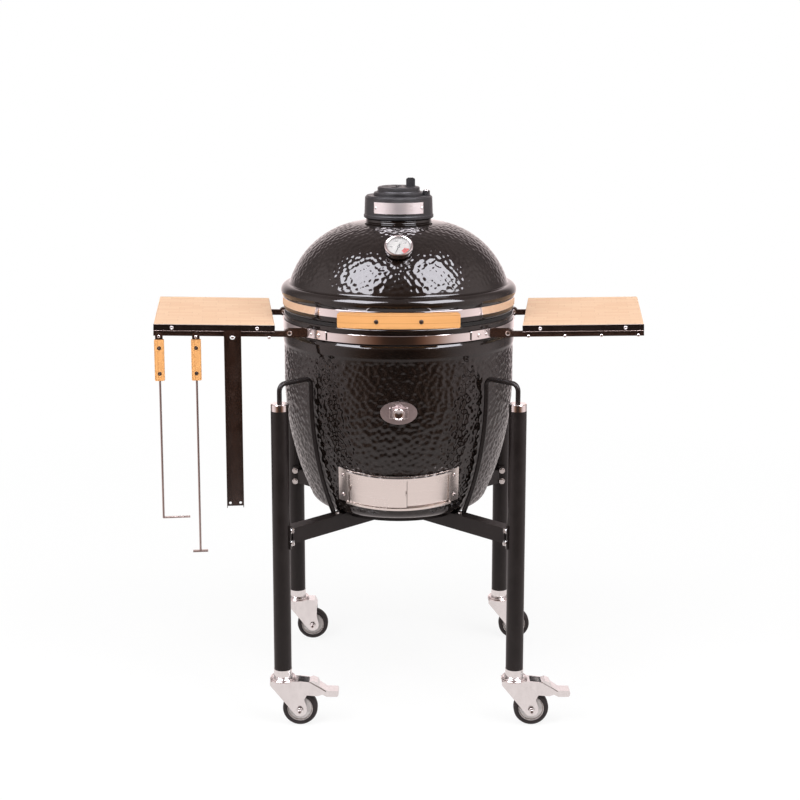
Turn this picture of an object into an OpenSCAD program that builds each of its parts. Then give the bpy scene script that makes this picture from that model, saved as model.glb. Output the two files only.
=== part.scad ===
// Kamado ceramic grill on a four-post caster cart with two folding side shelves.
// Origin: on the floor, on the axis of the bowl. +X right, -Y towards the cook, +Z up. Millimetres.

/* [Ceramic shell] */
// Outer radius of the base at its straight upper wall
bowl_r = 272; // [258:1:284]
// Height at which the base wall starts to curve in
bowl_curve_z = 770; // [755:1:785]
// Radius of the long curve of the base wall
bowl_curve_r = 690; // [640:5:760]
// Radius of the corner between wall and floor of the base
bowl_corner_r = 38; // [34:1:44]
// Thickness of the ceramic
wall = 26; // [20:0.5:30]
// How far the smooth collar stands out of the dimpled wall
collar_out = 1.0; // [0.6:0.1:2]
// Height of the smooth collar at the top of the base
collar_h = 58; // [50:1:70]
// Height of the parting plane between base and lid
seam_z = 927; // [915:0.5:940]
// Radius of the dome's arc
dome_r = 199; // [192:1:206]
// How far the dome's arc reaches out past the bead's centre
dome_overlap = 4; // [1:0.5:8]
// Height of the dome's arc centre above the parting plane
dome_rise = 10; // [0:0.5:14]
// Radius of the smooth bead round the foot of the lid
bead_r = 16.5; // [14:0.5:19]
// How far the bead's centre lies inside the lid's rim
bead_inset = 11; // [8:0.5:14]
// Height of the bead's centre above the parting plane
bead_rise = 49; // [47:0.5:53]
// Outer radius of the flue neck on the dome
neck_r = 77; // [72:0.5:80]
// Height of the flue neck above the dome
neck_h = 8.5; // [4:0.5:12]
// Radius of the flue through the neck
flue_r = 55; // [50:0.5:60]

/* [Bands and gaskets] */
// Thickness of the steel bands
band_t = 2; // [1.2:0.1:3]
// Height of the base band
base_band_h = 20; // [16:0.5:24]
// Distance of the base band's top below the parting plane
base_band_drop = 17.5; // [12:0.5:20]
// Height of the lid band
lid_band_h = 18.5; // [15:0.5:20]
// Distance of the lid band's foot above the parting plane
lid_band_rise = 17.5; // [12:0.5:19]
// Thickness of each felt gasket
gasket_t = 3.8; // [3:0.1:5]
// Width of each felt gasket
gasket_w = 22; // [15:0.5:23]

/* [Lid hinge] */
// Distance of the hinge pin behind the bands
hinge_reach = 40; // [36:0.5:50]
// Height of the hinge pin above the parting plane
hinge_rise = 3.5; // [0:0.5:8]
// Radius of the hinge pin
hinge_pin_r = 5.5; // [4.5:0.1:6]
// Distance between the outer cheeks of the hinge
hinge_span = 120; // [110:1:150]
// Thickness of the hinge cheeks and straps
hinge_t = 4; // [3:0.1:5]
// Radius of the eye at the end of each hinge cheek
hinge_eye_r = 12; // [10:0.5:14]
// Half of the angle over which a hinge strap follows its band
hinge_strap_a = 17; // [15:0.5:22]
// Wire diameter of the lift springs
spring_wire = 4; // [3:0.1:4.5]
// Coil radius of the lift springs at the middle of the wire
spring_coil_r = 8.5; // [8.4:0.1:9.5]
// Turns of each lift spring
spring_turns = 8; // [5:1:9]

/* [Lid handle] */
// Length of the handle bar
handle_len = 264; // [220:1:290]
// Height of the handle bar
handle_h = 33; // [26:0.5:36]
// Depth of the handle bar from front to back
handle_d = 24; // [18:0.5:30]
// Free space for the fingers behind the handle bar
handle_gap = 36; // [30:0.5:50]
// Radius of the handle bar's bow, seen from above
handle_bow_r = 600; // [450:10:900]
// Rounding of the handle bar's long edges
handle_edge_r = 5; // [2:0.5:8]
// Height of the handle bar's middle above the parting plane
handle_rise = 25; // [22:0.5:30]
// Distance of the bracket legs from the middle of the handle
handle_leg_x = 75; // [60:1:90]
// Distance of the handle screws from the middle of the handle
handle_screw_x = 47; // [40:1:54]
// Height of the handle brackets
handle_strap_h = 16; // [12:0.5:18]
// Thickness of the handle brackets
handle_strap_t = 3; // [2:0.1:4]

/* [Thermometer] */
// Slope of the thermometer's face above the horizon, measured to its axis
thermo_a = 50; // [44:1:56]
// Radius of the thermometer's bezel
thermo_r = 32; // [27:0.5:36]
// Height of the thermometer's case
thermo_h = 19; // [16:0.5:24]
// Radius of the probe stem
thermo_stem_r = 4; // [3:0.1:5]
// Length of the probe inside the dome
thermo_probe = 60; // [40:1:90]
// Thickness of the bezel's wall
thermo_wall = 3; // [2.4:0.1:4]
// Thickness of the glass
thermo_glass_t = 2; // [1.2:0.1:2.4]
// Resting direction of the needle on the face, from the right hand side
needle_a = 250; // [230:1:270]

/* [Top vent] */
// Height of the vent's cast collar
vent_h = 52.5; // [46:0.5:60]
// Radius of the cast collar at its foot
vent_foot_r = 82; // [79:0.5:86]
// Radius of the cast collar at its shoulder
vent_top_r = 79; // [76:0.5:82]
// Radius of the opening under the cap
vent_throat_r = 47; // [42:0.5:49]
// Thickness of the cast collar's roof
vent_roof_t = 7; // [5:0.5:9]
// Radius of the swinging cap
cap_r = 58.5; // [54:0.5:60]
// Height of the swinging cap
cap_h = 9.7; // [8:0.1:12]
// Distance of the cap's pivot from the axis
cap_pivot_x = 65; // [64:0.5:67]
// Radius of the cap's pivot lug
cap_lug_r = 8.5; // [7:0.5:9]
// Radius of the cap's pivot screw
cap_pin_r = 4; // [3:0.1:4.5]
// Radius of the daisy wheel
wheel_disc_r = 49.5; // [46:0.5:52]
// Thickness of the daisy wheel
wheel_disc_t = 10; // [7:0.5:12]
// Number of petal openings
petals = 5; // [4:1:6]
// Distance of each petal's round end from the middle
petal_reach = 30; // [28:0.5:32]
// Radius of each petal's round end
petal_r = 9.5; // [7:0.5:10.5]
// Width of the upright knob on the daisy wheel
knob_w = 21; // [16:0.5:24]
// Height of the upright knob on the daisy wheel
knob_h = 20; // [14:0.5:24]
// Width of the bare plate on the vent's collar
vent_plate_w = 114; // [90:1:120]
// Height of the bare plate on the vent's collar
vent_plate_h = 26; // [20:0.5:30]
// Thickness of the bare plate on the vent's collar
vent_plate_t = 1.5; // [1:0.1:2]

/* [Draft door] */
// Height of the middle of the draft door
draft_z = 540; // [532:0.5:550]
// Height of the draft door's frame along the wall
draft_h = 89; // [84:0.5:92]
// Half of the angle that the draft door's frame covers
draft_ear_a = 33.5; // [32.5:0.5:35]
// Half of the angle between the ends of the sliding tracks
draft_rail_a = 28; // [27:0.5:29.5]
// Half of the angle of the draft opening
draft_open_a = 25; // [22:0.5:25.5]
// Height of the draft opening
draft_open_h = 64; // [56:0.5:66]
// Thickness of the frame's back plate outside the wall
draft_plate_t = 2; // [1.2:0.1:2.4]
// Thickness of each sliding panel
panel_t = 1.5; // [1:0.1:1.6]
// Gap between the panels, and between panel and track
panel_gap = 0.8; // [0.5:0.1:1]
// Thickness of the tracks' lips
rail_t = 1.6; // [1.2:0.1:2.2]
// How deep a panel stands in its track
rail_grip = 4; // [3:0.5:5]
// Angle of the seam between the two panels
seam_a = 4.5; // [0:0.5:8]
// Angle by which the inner panel passes behind the outer one
panel_lap_a = 6; // [4:0.5:8]
// Height of the finger pulls at both ends of the outer panel
pull_h = 11; // [8:0.5:16]

/* [Chip port] */
// Height of the chip port
port_z = 735.5; // [725:0.5:742]
// Length of the oval port plate
port_w = 83; // [70:0.5:95]
// Height of the oval port plate
port_h = 53; // [44:0.5:60]
// Thickness of the oval port plate
port_t = 2.2; // [1.5:0.1:3]
// Width of the passage through the port
port_bore_w = 37; // [34:0.5:39]
// Height of the passage through the port
port_bore_h = 20; // [16:0.5:21]
// Thickness of the port's sleeve
port_sleeve_t = 1.5; // [1:0.1:2]
// How far the plug's flange covers the passage all round
plug_cover = 2.4; // [1.5:0.1:3]
// Length of the plug inside the port's sleeve
plug_l = 22; // [16:0.5:24]
// Radius of the plug's knob
plug_knob_r = 13.6; // [11:0.1:16]

/* [Fire parts] */
// How far the firebox's foot stays inside the flat of the base's floor
firebox_foot_gap = 12.8; // [11:0.1:18]
// Gap between the top of the firebox and the base wall
firebox_top_gap = 20; // [14:0.5:26]
// Height of the firebox
firebox_h = 285; // [275:1:295]
// Thickness of the firebox wall
firebox_t = 24; // [20:0.5:28]
// Height of the ledge that carries the charcoal grate
ledge_h = 84; // [80:0.5:92]
// Width of the ledge that carries the charcoal grate
ledge_w = 22; // [16:0.5:26]
// Thickness of the charcoal grate
grate_t = 8; // [6:0.5:12]
// Radius of the holes in the charcoal grate
grate_hole_r = 7; // [5:0.5:8]
// Height of the fire ring on the firebox
fire_ring_h = 105; // [95:1:115]
// Gap between the fire ring and the base wall
fire_ring_gap = 14; // [10:0.5:18]
// Rod diameter of the cooking grid
grid_rod = 6; // [5:0.5:7]
// Spacing of the cooking grid's rods
grid_pitch = 21; // [18:0.5:26]

/* [Cart] */
// How far each post's axis stands inside the base's widest reach, seen from the front and from the side
post_inset = 6.5; // [0:0.5:14]
// Outer radius of the posts
post_r = 20; // [17:0.5:22]
// Wall thickness of the posts
post_t = 2; // [1.5:0.1:3]
// Height of the top end of the posts
post_top_z = 740; // [725:1:750]
// Height of the steel caps on the posts
post_cap_h = 16; // [12:0.5:18]
// Height of the upper face of the cross frame
frame_top_z = 465; // [458:0.5:470]
// Height of the cross frame's arms
arm_h = 36; // [30:0.5:40]
// Width of the cross frame's arms
arm_w = 30; // [28:0.5:34]
// Outer radius of the support ring
support_r = 170; // [160:1:172]
// Width of the support ring's flat bar
support_w = 20; // [14:0.5:26]
// Thickness of the support ring's flat bar
support_t = 11; // [8:0.5:14]
// Height of the saddles that hold the posts
saddle_h = 54; // [48:0.5:60]
// Thickness of the saddles
saddle_t = 3.5; // [2.5:0.1:5]
// Distance between the two rows of saddle bolts
saddle_bolt_pitch = 28; // [24:0.5:32]
// Size of the bolts' hexagon heads, corner to middle
bolt_head_r = 6; // [5:0.1:7]
// Radius of the bent cradle rods
rod_r = 5.5; // [4.5:0.1:6.5]
// Gap between the cradle rods and the base
rod_gap = 4.5; // [2:0.5:8]
// Height of the top stretch of the cradle rods
rod_top_z = 799; // [790:1:812]
// Bend radius at the shoulders of the cradle rods
rod_bend = 16; // [12:0.5:20]

/* [Casters] */
// Radius of the caster wheels
wheel_r = 40; // [36:0.5:42]
// Width of the caster wheels
wheel_w = 26; // [22:0.5:28]
// Trail of each wheel behind its swivel axis
trail = 39; // [34:0.5:42]
// Radius of the wheel axles
axle_r = 4; // [3:0.1:5]
// Height of the swivel's upper face
swivel_z = 115.5; // [110:0.5:122]
// Radius of the swivel's raceway
raceway_r = 29; // [26:0.5:31]
// Height of the swivel's raceway
raceway_h = 7.5; // [6:0.5:10]
// Radius of the swivel stem
stem_r = 6; // [5:0.1:7]
// Length of the swivel stem
stem_l = 24; // [20:0.5:34]
// Thickness of the fork's sheet
fork_t = 3; // [2:0.1:4]
// Gap between wheel and fork on each side
fork_gap = 3; // [2:0.1:4]
// Radius of the fork's end round the axle
fork_end_r = 16; // [13:0.5:18]
// Reach of the braked forks behind the swivel axis
brake_reach = 99; // [95:0.5:106]
// Reach of the brake pedal behind the swivel axis
pedal_reach = 128; // [122:0.5:136]
// Height of the collar between post and swivel
socket_h = 18; // [14:0.5:24]

/* [Side shelves] */
// Width of each shelf board, outwards
shelf_w = 271; // [240:1:300]
// Depth of each shelf board, front to back
shelf_d = 399; // [380:1:440]
// Thickness of each shelf board
shelf_t = 13; // [10:0.5:18]
// Angle by which the shelves splay out at the back
shelf_splay = 6.6; // [4:0.1:9]
// Angle by which the shelves rise to their outer edge
shelf_rise = 1.8; // [0:0.1:2.5]
// Angle from the front at which the front brackets leave the band
bracket_a = 49; // [46:0.5:52]
// Length of the front brackets from the band to the pivot
bracket_l = 40; // [36:0.5:48]
// Distance between the two pivots of a shelf
pivot_span = 298; // [280:1:310]
// Radius of the pivot bolts
pivot_r = 4; // [3:0.1:5]
// Distance from the pivot to the board's inner edge
shelf_inset = 33; // [30:0.5:38]
// Height of the rails under the boards
rail_h = 13.5; // [12:0.5:16]
// Thickness of the rails under the boards
shelf_rail_t = 6; // [4:0.5:7]
// Thickness of the trim on the front edge of the boards
trim_t = 3; // [2:0.1:4]
// Number of pegs on each front rail
pegs = 4; // [2:1:5]
// Spacing of the pegs
peg_pitch = 81.5; // [76:0.5:83]
// Radius of the pegs
peg_r = 2.5; // [2:0.1:3]
// Free length of the left shelf's pegs, which carry the tools
peg_l = 24; // [22:0.5:30]
// Free length of the right shelf's pegs
spare_peg_l = 7; // [5:0.5:12]
// Distance of the first peg from the board's inner edge
peg_first = 13.5; // [12:0.5:16]

/* [Tools] */
// Width of the tools' grips
grip_w = 22; // [18:0.5:24]
// Length of the tools' grips
grip_l = 93.5; // [84:0.5:104]
// Thickness of the tools' grips
grip_t = 15; // [12:0.5:16]
// Drop from a peg to the top of a grip
grip_drop = 7.5; // [6:0.5:10]
// Thickness of the tools' tangs
tang_t = 3; // [2:0.1:4]
// Width of the tools' tangs at the peg
tang_w = 17; // [15:0.5:20]
// Radius of the tools' rods
tool_rod_r = 2.4; // [2:0.1:3]
// Length of the poker below its grip
poker_l = 318; // [300:1:330]
// Length of the poker's turned foot
poker_foot = 60; // [45:1:62]
// Length of the pusher below its grip
pusher_l = 400; // [385:1:410]
// Width of the pusher's foot
pusher_foot_w = 34; // [28:0.5:36]
// Length of the chip trough
trough_l = 408; // [380:1:430]
// Width of the chip trough
trough_w = 38.5; // [34:0.5:40]
// Depth of the chip trough
trough_d = 17; // [14:0.5:20]
// Sheet thickness of the chip trough
trough_t = 1.5; // [1:0.1:2]
// Radius of the chip trough's hanging hole
trough_hole_r = 6; // [5:0.1:7]

/* [Fits] */
// Gap between pieces that rest on each other
seat = 0.1; // [0.05:0.01:0.15]
// Radial clearance of pins in their bores
run = 0.05; // [0.03:0.01:0.1]
// Gap between pieces that pass each other
clear = 0.4; // [0.3:0.1:0.6]

/* [Hidden] */
$fn = 96;

glaze = [0.05, 0.045, 0.04];
steel = [0.78, 0.77, 0.75];
iron = [0.1, 0.1, 0.11];
black = [0.07, 0.065, 0.06];
brown = [0.13, 0.08, 0.06];
bamboo = [0.85, 0.62, 0.38];
clay = [0.72, 0.6, 0.47];
felt = [0.12, 0.11, 0.1];
zinc = [0.8, 0.78, 0.75];

// Shell: heights and radii that follow from the driving sizes
floor_z = frame_top_z + seat;
base_top_z = seam_z - clear / 2 - gasket_t - seat;
lid_foot_z = seam_z + clear / 2 + gasket_t + seat;
rim_r = bowl_r + collar_out;
inner_r = bowl_r - wall;
band_in_r = rim_r + seat;
band_r = band_in_r + band_t;
gasket_mid_r = (inner_r + rim_r) / 2;
base_band_z = seam_z - base_band_drop - base_band_h;
lid_band_z = seam_z + lid_band_rise;
bowl_turn = asin((bowl_curve_z - floor_z - bowl_corner_r) / (bowl_curve_r - bowl_corner_r));
floor_r = bowl_r - bowl_curve_r + (bowl_curve_r - bowl_corner_r) * cos(bowl_turn);
dome_z = seam_z + dome_rise;
bead_reach = rim_r - bead_inset;
dome_centre_r = bead_reach + dome_overlap - dome_r;
neck_z = dome_z + sqrt(dome_r * dome_r - pow(neck_r - dome_centre_r, 2)) + neck_h;

// Points on an arc in the profile plane, without its first point when skip is 1
function arc_points(cx, cz, r, a0, a1, n, skip = 0) =
  [for (i = [skip:n]) let (a = a0 + (a1 - a0) * i / n) [cx + r * cos(a), cz + r * sin(a)]];

// Side of the base from the floor to the straight wall, moved out by e along its normal
function wall_side(e) = concat(
  arc_points(floor_r, floor_z + bowl_corner_r, bowl_corner_r + e, -90, -bowl_turn, 8),
  arc_points(bowl_r - bowl_curve_r, bowl_curve_z, bowl_curve_r + e, -bowl_turn, 0, 20, 1));

// Outer radius of the base wall at a height
function wall_r(z) =
  bowl_r - bowl_curve_r + sqrt(bowl_curve_r * bowl_curve_r - pow(max(0, bowl_curve_z - z), 2));

function reversed(list) = [for (i = [len(list) - 1:-1:0]) list[i]];

// Angle at which the bead's circle meets the dome's circle, seen from the bead's centre
bead_z = seam_z + bead_rise;
bead_dist = norm([bead_reach - dome_centre_r, bead_z - dome_z]);
bead_dir = atan2(bead_z - dome_z, bead_reach - dome_centre_r);
bead_meet = acos((bead_dist * bead_dist + dome_r * dome_r - bead_r * bead_r) / (2 * bead_dist * dome_r));
dome_start = bead_dir + bead_meet;
bead_top_a = atan2(dome_z + dome_r * sin(dome_start) - bead_z,
                   dome_centre_r + dome_r * cos(dome_start) - bead_reach);
bead_foot_a = -acos((rim_r - bead_reach) / bead_r);

// A solid of revolution round the axis, from a closed list of points
module turned(points) { rotate_extrude() polygon(points); }

// A piece of a ring standing on z = 0, between two angles from +X
module sector(r0, r1, a0, a1, h) {
  rotate([0, 0, a0]) rotate_extrude(angle = a1 - a0) translate([r0, 0]) square([r1 - r0, h]);
}

// A rectangle with round corners, about the origin
module round_rect(w, h, r) {
  square([w - 2 * r, h], center = true);
  square([w, h - 2 * r], center = true);
  for (x = [-1, 1], y = [-1, 1]) translate([x * (w / 2 - r), y * (h / 2 - r)]) circle(r, $fn = 32);
}

// A flat plate in the X-Z plane, y from 0 to t, from a 2D outline
module upright(t) { translate([0, t, 0]) rotate([90, 0, 0]) linear_extrude(t) children(); }

// The outside of the base as one solid, grown by e
module shell_solid(e) {
  turned(concat([[0, floor_z - e]], wall_side(e), [[bowl_r + e, base_top_z], [0, base_top_z]]));
}

// Base

module base_bowl() color(glaze) difference() {
  turned(concat(
    [[0, floor_z]], wall_side(0),
    [[bowl_r, base_top_z - collar_h], [rim_r, base_top_z - collar_h + 2 * collar_out],
     [rim_r, base_top_z - 4], [rim_r - 4, base_top_z], [inner_r + 2, base_top_z],
     [inner_r, base_top_z - 2]],
    reversed(wall_side(-wall)), [[0, floor_z + wall]]));
  draft_passage(draft_bend_r + 30);
  port_passage(port_bore_w + 2 * (port_sleeve_t + seat), port_bore_h + 2 * (port_sleeve_t + seat), inner_r);
}

module base_band() color(steel) band(base_band_z, base_band_h);

module lid_band() color(steel) band(lid_band_z, lid_band_h);

// A flat steel hoop with rounded edges
module band(z, h) {
  edge = band_t / 3;
  turned([[band_in_r, z], [band_r - edge, z], [band_r, z + edge], [band_r, z + h - edge],
          [band_r - edge, z + h], [band_in_r, z + h]]);
}

module base_gasket() color(felt) gasket(base_top_z + seat);

module lid_gasket() color(felt) gasket(lid_foot_z - seat - gasket_t);

module gasket(z) {
  translate([0, 0, z]) rotate_extrude()
    translate([gasket_mid_r - gasket_w / 2, 0]) square([gasket_w, gasket_t]);
}

// Fire parts inside the base

firebox_foot_r = floor_r - firebox_foot_gap;
firebox_top_r = inner_r - firebox_top_gap;
firebox_z = floor_z + wall + seat;
firebox_top_z = firebox_z + firebox_h;
ledge_z = firebox_z + ledge_h;
fire_ring_z = firebox_top_z + seat;
fire_ring_r = inner_r - fire_ring_gap;
grate_z = ledge_z + seat;
grid_z = fire_ring_z + fire_ring_h + seat;

// Outer radius of the tapered firebox at a height
function firebox_r(z) = firebox_foot_r + (firebox_top_r - firebox_foot_r) * (z - firebox_z) / firebox_h;

ledge_r = firebox_r(ledge_z) - firebox_t;
air_holes = 12;
air_hole_r = 8;
air_hole_z = ledge_z + 60;
slot_margin = 12;

module firebox() color(clay) difference() {
  turned([[firebox_foot_r - firebox_t, firebox_z], [firebox_foot_r, firebox_z],
          [firebox_top_r, firebox_top_z], [firebox_top_r - firebox_t, firebox_top_z],
          [ledge_r, ledge_z], [ledge_r - ledge_w, ledge_z], [ledge_r - ledge_w, ledge_z - ledge_w],
          [firebox_foot_r - firebox_t, ledge_z - 2 * ledge_w]]);
  translate([-slot_w / 2, -bowl_r, firebox_z + slot_margin])
    cube([slot_w, bowl_r - 60, ledge_h - 3 * slot_margin]);
  for (i = [0:air_holes - 1])
    rotate([0, 0, (i + 0.5) * 360 / air_holes]) translate([ledge_r - 5, 0, air_hole_z])
      rotate([0, 90, 0]) cylinder(r = air_hole_r, h = bowl_r - ledge_r);
  port_passage(port_bore_w + 8, port_bore_h + 10, ledge_r);
}

module fire_ring() color(clay) {
  translate([0, 0, fire_ring_z]) rotate_extrude()
    translate([fire_ring_r - firebox_t, 0]) square([firebox_t, fire_ring_h]);
}

grate_r = ledge_r - 2;

module charcoal_grate() color(iron) difference() {
  translate([0, 0, grate_z]) cylinder(r = grate_r, h = grate_t);
  for (ring = [0:3], i = [0:max(0, 6 * ring - 1)])
    rotate([0, 0, i * 360 / max(1, 6 * ring)]) translate([ring * grate_r / 3.9, 0, grate_z - 1])
      cylinder(r = grate_hole_r, h = grate_t + 2, $fn = 32);
}

grid_r = fire_ring_r - firebox_t / 2;
grid_rim_w = 10;
grid_rows = floor((grid_r - 2 * grid_rim_w) / grid_pitch);

module cooking_grid() color(steel) translate([0, 0, grid_z]) {
  rotate_extrude() translate([grid_r - grid_rim_w, 0]) square([grid_rim_w, grid_rod + 1]);
  for (i = [-grid_rows:grid_rows]) {
    half = sqrt(pow(grid_r - grid_rim_w / 2, 2) - pow(i * grid_pitch, 2));
    translate([i * grid_pitch, half, grid_rod / 2 + 0.5]) rotate([90, 0, 0])
      cylinder(d = grid_rod, h = 2 * half, $fn = 24);
  }
}

// Cart

post_x = bowl_r - post_inset;
post_reach = round(post_x * sqrt(2) * 10) / 10;
caster_x = post_reach / sqrt(2);
arm_z = frame_top_z - arm_h;
saddle_z = arm_z + arm_h / 2 - saddle_h / 2;
saddle_in_r = post_r + seat;
saddle_out_r = saddle_in_r + saddle_t;
saddle_half_a = 72;
saddle_bolt_a = 50;
bolt_shank_r = 3.5;
bolt_head_h = 5;
washer_h = 1.2;
socket_z = swivel_z + clear;
post_foot_z = socket_z + socket_h;
cap_spigot = 14;
rod_socket = 9;

// The four posts, each with its own frame turned so that +X points to the axis
module at_posts() {
  for (a = [45:90:315]) rotate([0, 0, a]) translate([post_reach, 0, 0]) rotate([0, 0, 180]) children();
}

module at_saddle_bolts() {
  at_posts() for (a = [-1, 1], k = [-1, 1])
    rotate([0, 0, a * saddle_bolt_a])
      translate([0, 0, saddle_z + saddle_h / 2 + k * saddle_bolt_pitch / 2]) rotate([0, 90, 0]) children();
}

module cross_frame() color(black) difference() {
  union() {
    for (a = [45, 135]) rotate([0, 0, a])
      translate([-post_reach + post_r + saddle_t / 2, -arm_w / 2, arm_z])
        cube([2 * (post_reach - post_r - saddle_t / 2), arm_w, arm_h]);
    translate([0, 0, frame_top_z - support_t]) rotate_extrude()
      translate([support_r - support_w, 0]) square([support_w, support_t]);
    at_posts() translate([0, 0, saddle_z])
      sector(saddle_in_r, saddle_out_r, -saddle_half_a, saddle_half_a, saddle_h);
  }
  at_posts() translate([0, 0, saddle_z - 1]) cylinder(r = saddle_in_r, h = saddle_h + 2);
  at_saddle_bolts() cylinder(r = bolt_shank_r + seat, h = saddle_out_r + 2, $fn = 24);
}

module frame_bolts() color(steel) {
  at_saddle_bolts() translate([0, 0, post_r + seat]) {
    cylinder(r = bolt_shank_r, h = saddle_out_r - post_r, $fn = 24);
    translate([0, 0, saddle_out_r - post_r]) cylinder(r = bolt_head_r + 1.5, h = washer_h, $fn = 32);
    translate([0, 0, saddle_out_r - post_r + washer_h]) cylinder(r = bolt_head_r, h = bolt_head_h, $fn = 6);
  }
  at_rods() translate([rod_foot_u, rod_bolt_v, frame_top_z + rod_lug_t + seat])
    cylinder(r = bolt_head_r - 1.5, h = bolt_head_h - 1, $fn = 6);
}

module cart_posts() color(black) {
  at_posts() translate([0, 0, post_foot_z + seat]) difference() {
    cylinder(r = post_r, h = post_top_z - post_foot_z - seat);
    translate([0, 0, -1]) cylinder(r = post_r - post_t, h = post_top_z - post_foot_z + 2);
  }
}

module post_caps() color(steel) {
  at_posts() difference() {
    union() {
      translate([0, 0, post_top_z + seat]) turned(
        [[0, 0], [post_r, 0], [post_r, post_cap_h - 1.5], [post_r - 1.5, post_cap_h], [0, post_cap_h]]);
      translate([0, 0, post_top_z - cap_spigot]) cylinder(r = post_r - post_t - seat, h = cap_spigot + 1);
    }
    translate([0, 0, post_top_z + seat + post_cap_h - rod_socket])
      cylinder(r = rod_r + seat, h = rod_socket + 1);
  }
}

module caster_sockets() color(zinc) {
  at_posts() difference() {
    union() {
      translate([0, 0, socket_z]) cylinder(r = post_r + 0.7, h = socket_h);
      translate([0, 0, socket_z + 1]) cylinder(r = post_r - post_t - seat, h = socket_h + stem_l - 1);
    }
    translate([0, 0, socket_z - 1]) cylinder(r = stem_r + run, h = stem_l + 2);
  }
}

// Cradle rods: up the base beside its wall, over to the post and down into its cap

rod_u = bowl_r + rod_gap + rod_r;
rod_curve_r = bowl_curve_r + rod_gap + rod_r;
rod_turn = asin((bowl_curve_z - frame_top_z) / rod_curve_r);
rod_foot_u = rod_u - rod_curve_r * (1 - cos(rod_turn));
rod_lug_t = 3;
rod_lug_l = 20;
rod_bolt_v = 9.5;

module at_rods() {
  for (a = [45:90:315]) rotate([0, 0, a]) mirror([0, a == 45 || a == 225 ? 0 : 1, 0]) children();
}

// Part of a bent rod in the X-Z plane
module rod_bend_arc(x, z, r, a0, a1) {
  translate([x, 0, z]) rotate([90, 0, 0]) rotate([0, 0, a0])
    rotate_extrude(angle = a1 - a0) translate([r, 0]) circle(rod_r, $fn = 32);
}

module cradle_rods() color(black) {
  at_rods() {
    difference() {
      union() {
        translate([rod_u - rod_curve_r, 0, bowl_curve_z]) mirror([0, 0, 1])
          rod_bend_arc(0, 0, rod_curve_r, 0, rod_turn + 1);
        translate([rod_foot_u - rod_lug_l / 2, -rod_r - 1.5, frame_top_z + seat])
          cube([rod_lug_l, rod_r + 1 + arm_w / 2, rod_lug_t]);
      }
      translate([0, -50, frame_top_z + seat - 50]) cube([rod_u, 100, 50]);
    }
    if (rod_top_z - rod_bend > bowl_curve_z)
      translate([rod_u, 0, bowl_curve_z])
        cylinder(r = rod_r, h = rod_top_z - rod_bend - bowl_curve_z, $fn = 32);
    rod_bend_arc(rod_u + rod_bend, rod_top_z - rod_bend, rod_bend, 90, 180);
    translate([rod_u + rod_bend, 0, rod_top_z]) rotate([0, 90, 0])
      cylinder(r = rod_r, h = post_reach - rod_u - 2 * rod_bend, $fn = 32);
    rod_bend_arc(post_reach - rod_bend, rod_top_z - rod_bend, rod_bend, 0, 90);
    rod_end_z = post_top_z + post_cap_h - rod_socket + 2 * seat;
    translate([post_reach, 0, rod_end_z])
      cylinder(r = rod_r, h = rod_top_z - rod_bend - rod_end_z, $fn = 32);
  }
}

// Draft door: a frame rolled to the base wall and leaning with it, and two panels in two tracks

draft_tilt = asin((bowl_curve_z - draft_z) / bowl_curve_r);
draft_bend_r = wall_r(draft_z) / cos(draft_tilt);
draft_skirt = 4;
track_d = 2 * panel_t + 3 * panel_gap;
rail_inset = 0.6;
stop_gap_a = 0.3;
panel_h = draft_h - 2 * (rail_inset + rail_t + clear);
panel_end_a = draft_rail_a - 1.5;
inner_panel_r = draft_bend_r + draft_plate_t + panel_gap;
outer_panel_r = inner_panel_r + panel_t + panel_gap;
draft_screw_a = (draft_rail_a + draft_ear_a) / 2;
draft_screw_s = 27;
slot_w = 2 * draft_bend_r * sin(draft_open_a) * 0.8;

// The frame of the draft door: +Z along the leaning wall, -Y out of it, axis at the wall's own bend
module on_draft() {
  translate([0, draft_bend_r * cos(draft_tilt) - wall_r(draft_z), draft_z + draft_bend_r * sin(draft_tilt)])
    rotate([draft_tilt, 0, 0]) children();
}

module draft_passage(depth) {
  on_draft() translate([0, 0, -draft_open_h / 2]) intersection() {
    sector(draft_bend_r - wall - 40, draft_bend_r + 30, -90 - draft_open_a, -90 + draft_open_a, draft_open_h);
    translate([-depth, -depth, 0]) cube([2 * depth, depth, draft_open_h]);
  }
}

// Section of the upper track: a shelf and a lip that stand on the back plate
module track_section() {
  h = draft_h / 2 - rail_inset;
  back = draft_bend_r + draft_plate_t - 0.5;
  front = draft_bend_r + draft_plate_t + track_d;
  polygon([[back, h], [front + rail_t, h], [front + rail_t, h - rail_t - rail_grip],
           [front, h - rail_t - rail_grip], [front, h - rail_t], [back, h - rail_t]]);
}

module draft_frame() color(steel) difference() {
  on_draft() {
    difference() {
      translate([0, 0, -draft_h / 2])
        sector(draft_bend_r - draft_skirt, draft_bend_r + draft_plate_t,
               -90 - draft_ear_a, -90 + draft_ear_a, draft_h);
      translate([0, 0, -draft_open_h / 2])
        sector(draft_bend_r - 12, draft_bend_r + 12, -90 - draft_open_a, -90 + draft_open_a, draft_open_h);
    }
    for (m = [0, 1]) mirror([0, 0, m]) rotate([0, 0, -90 - draft_rail_a])
      rotate_extrude(angle = 2 * draft_rail_a) track_section();
    for (s = [-1, 1]) {
      a0 = s < 0 ? -90 - draft_rail_a + 0.2 : -90 + panel_end_a + stop_gap_a;
      stop_h = draft_h - 2 * rail_inset - rail_t;
      translate([0, 0, -stop_h / 2])
        sector(draft_bend_r + draft_plate_t - 0.7, draft_bend_r + draft_plate_t + track_d - 0.3,
               a0, a0 + draft_rail_a - panel_end_a - stop_gap_a - 0.2, stop_h);
    }
  }
  shell_solid(seat);
}

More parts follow.
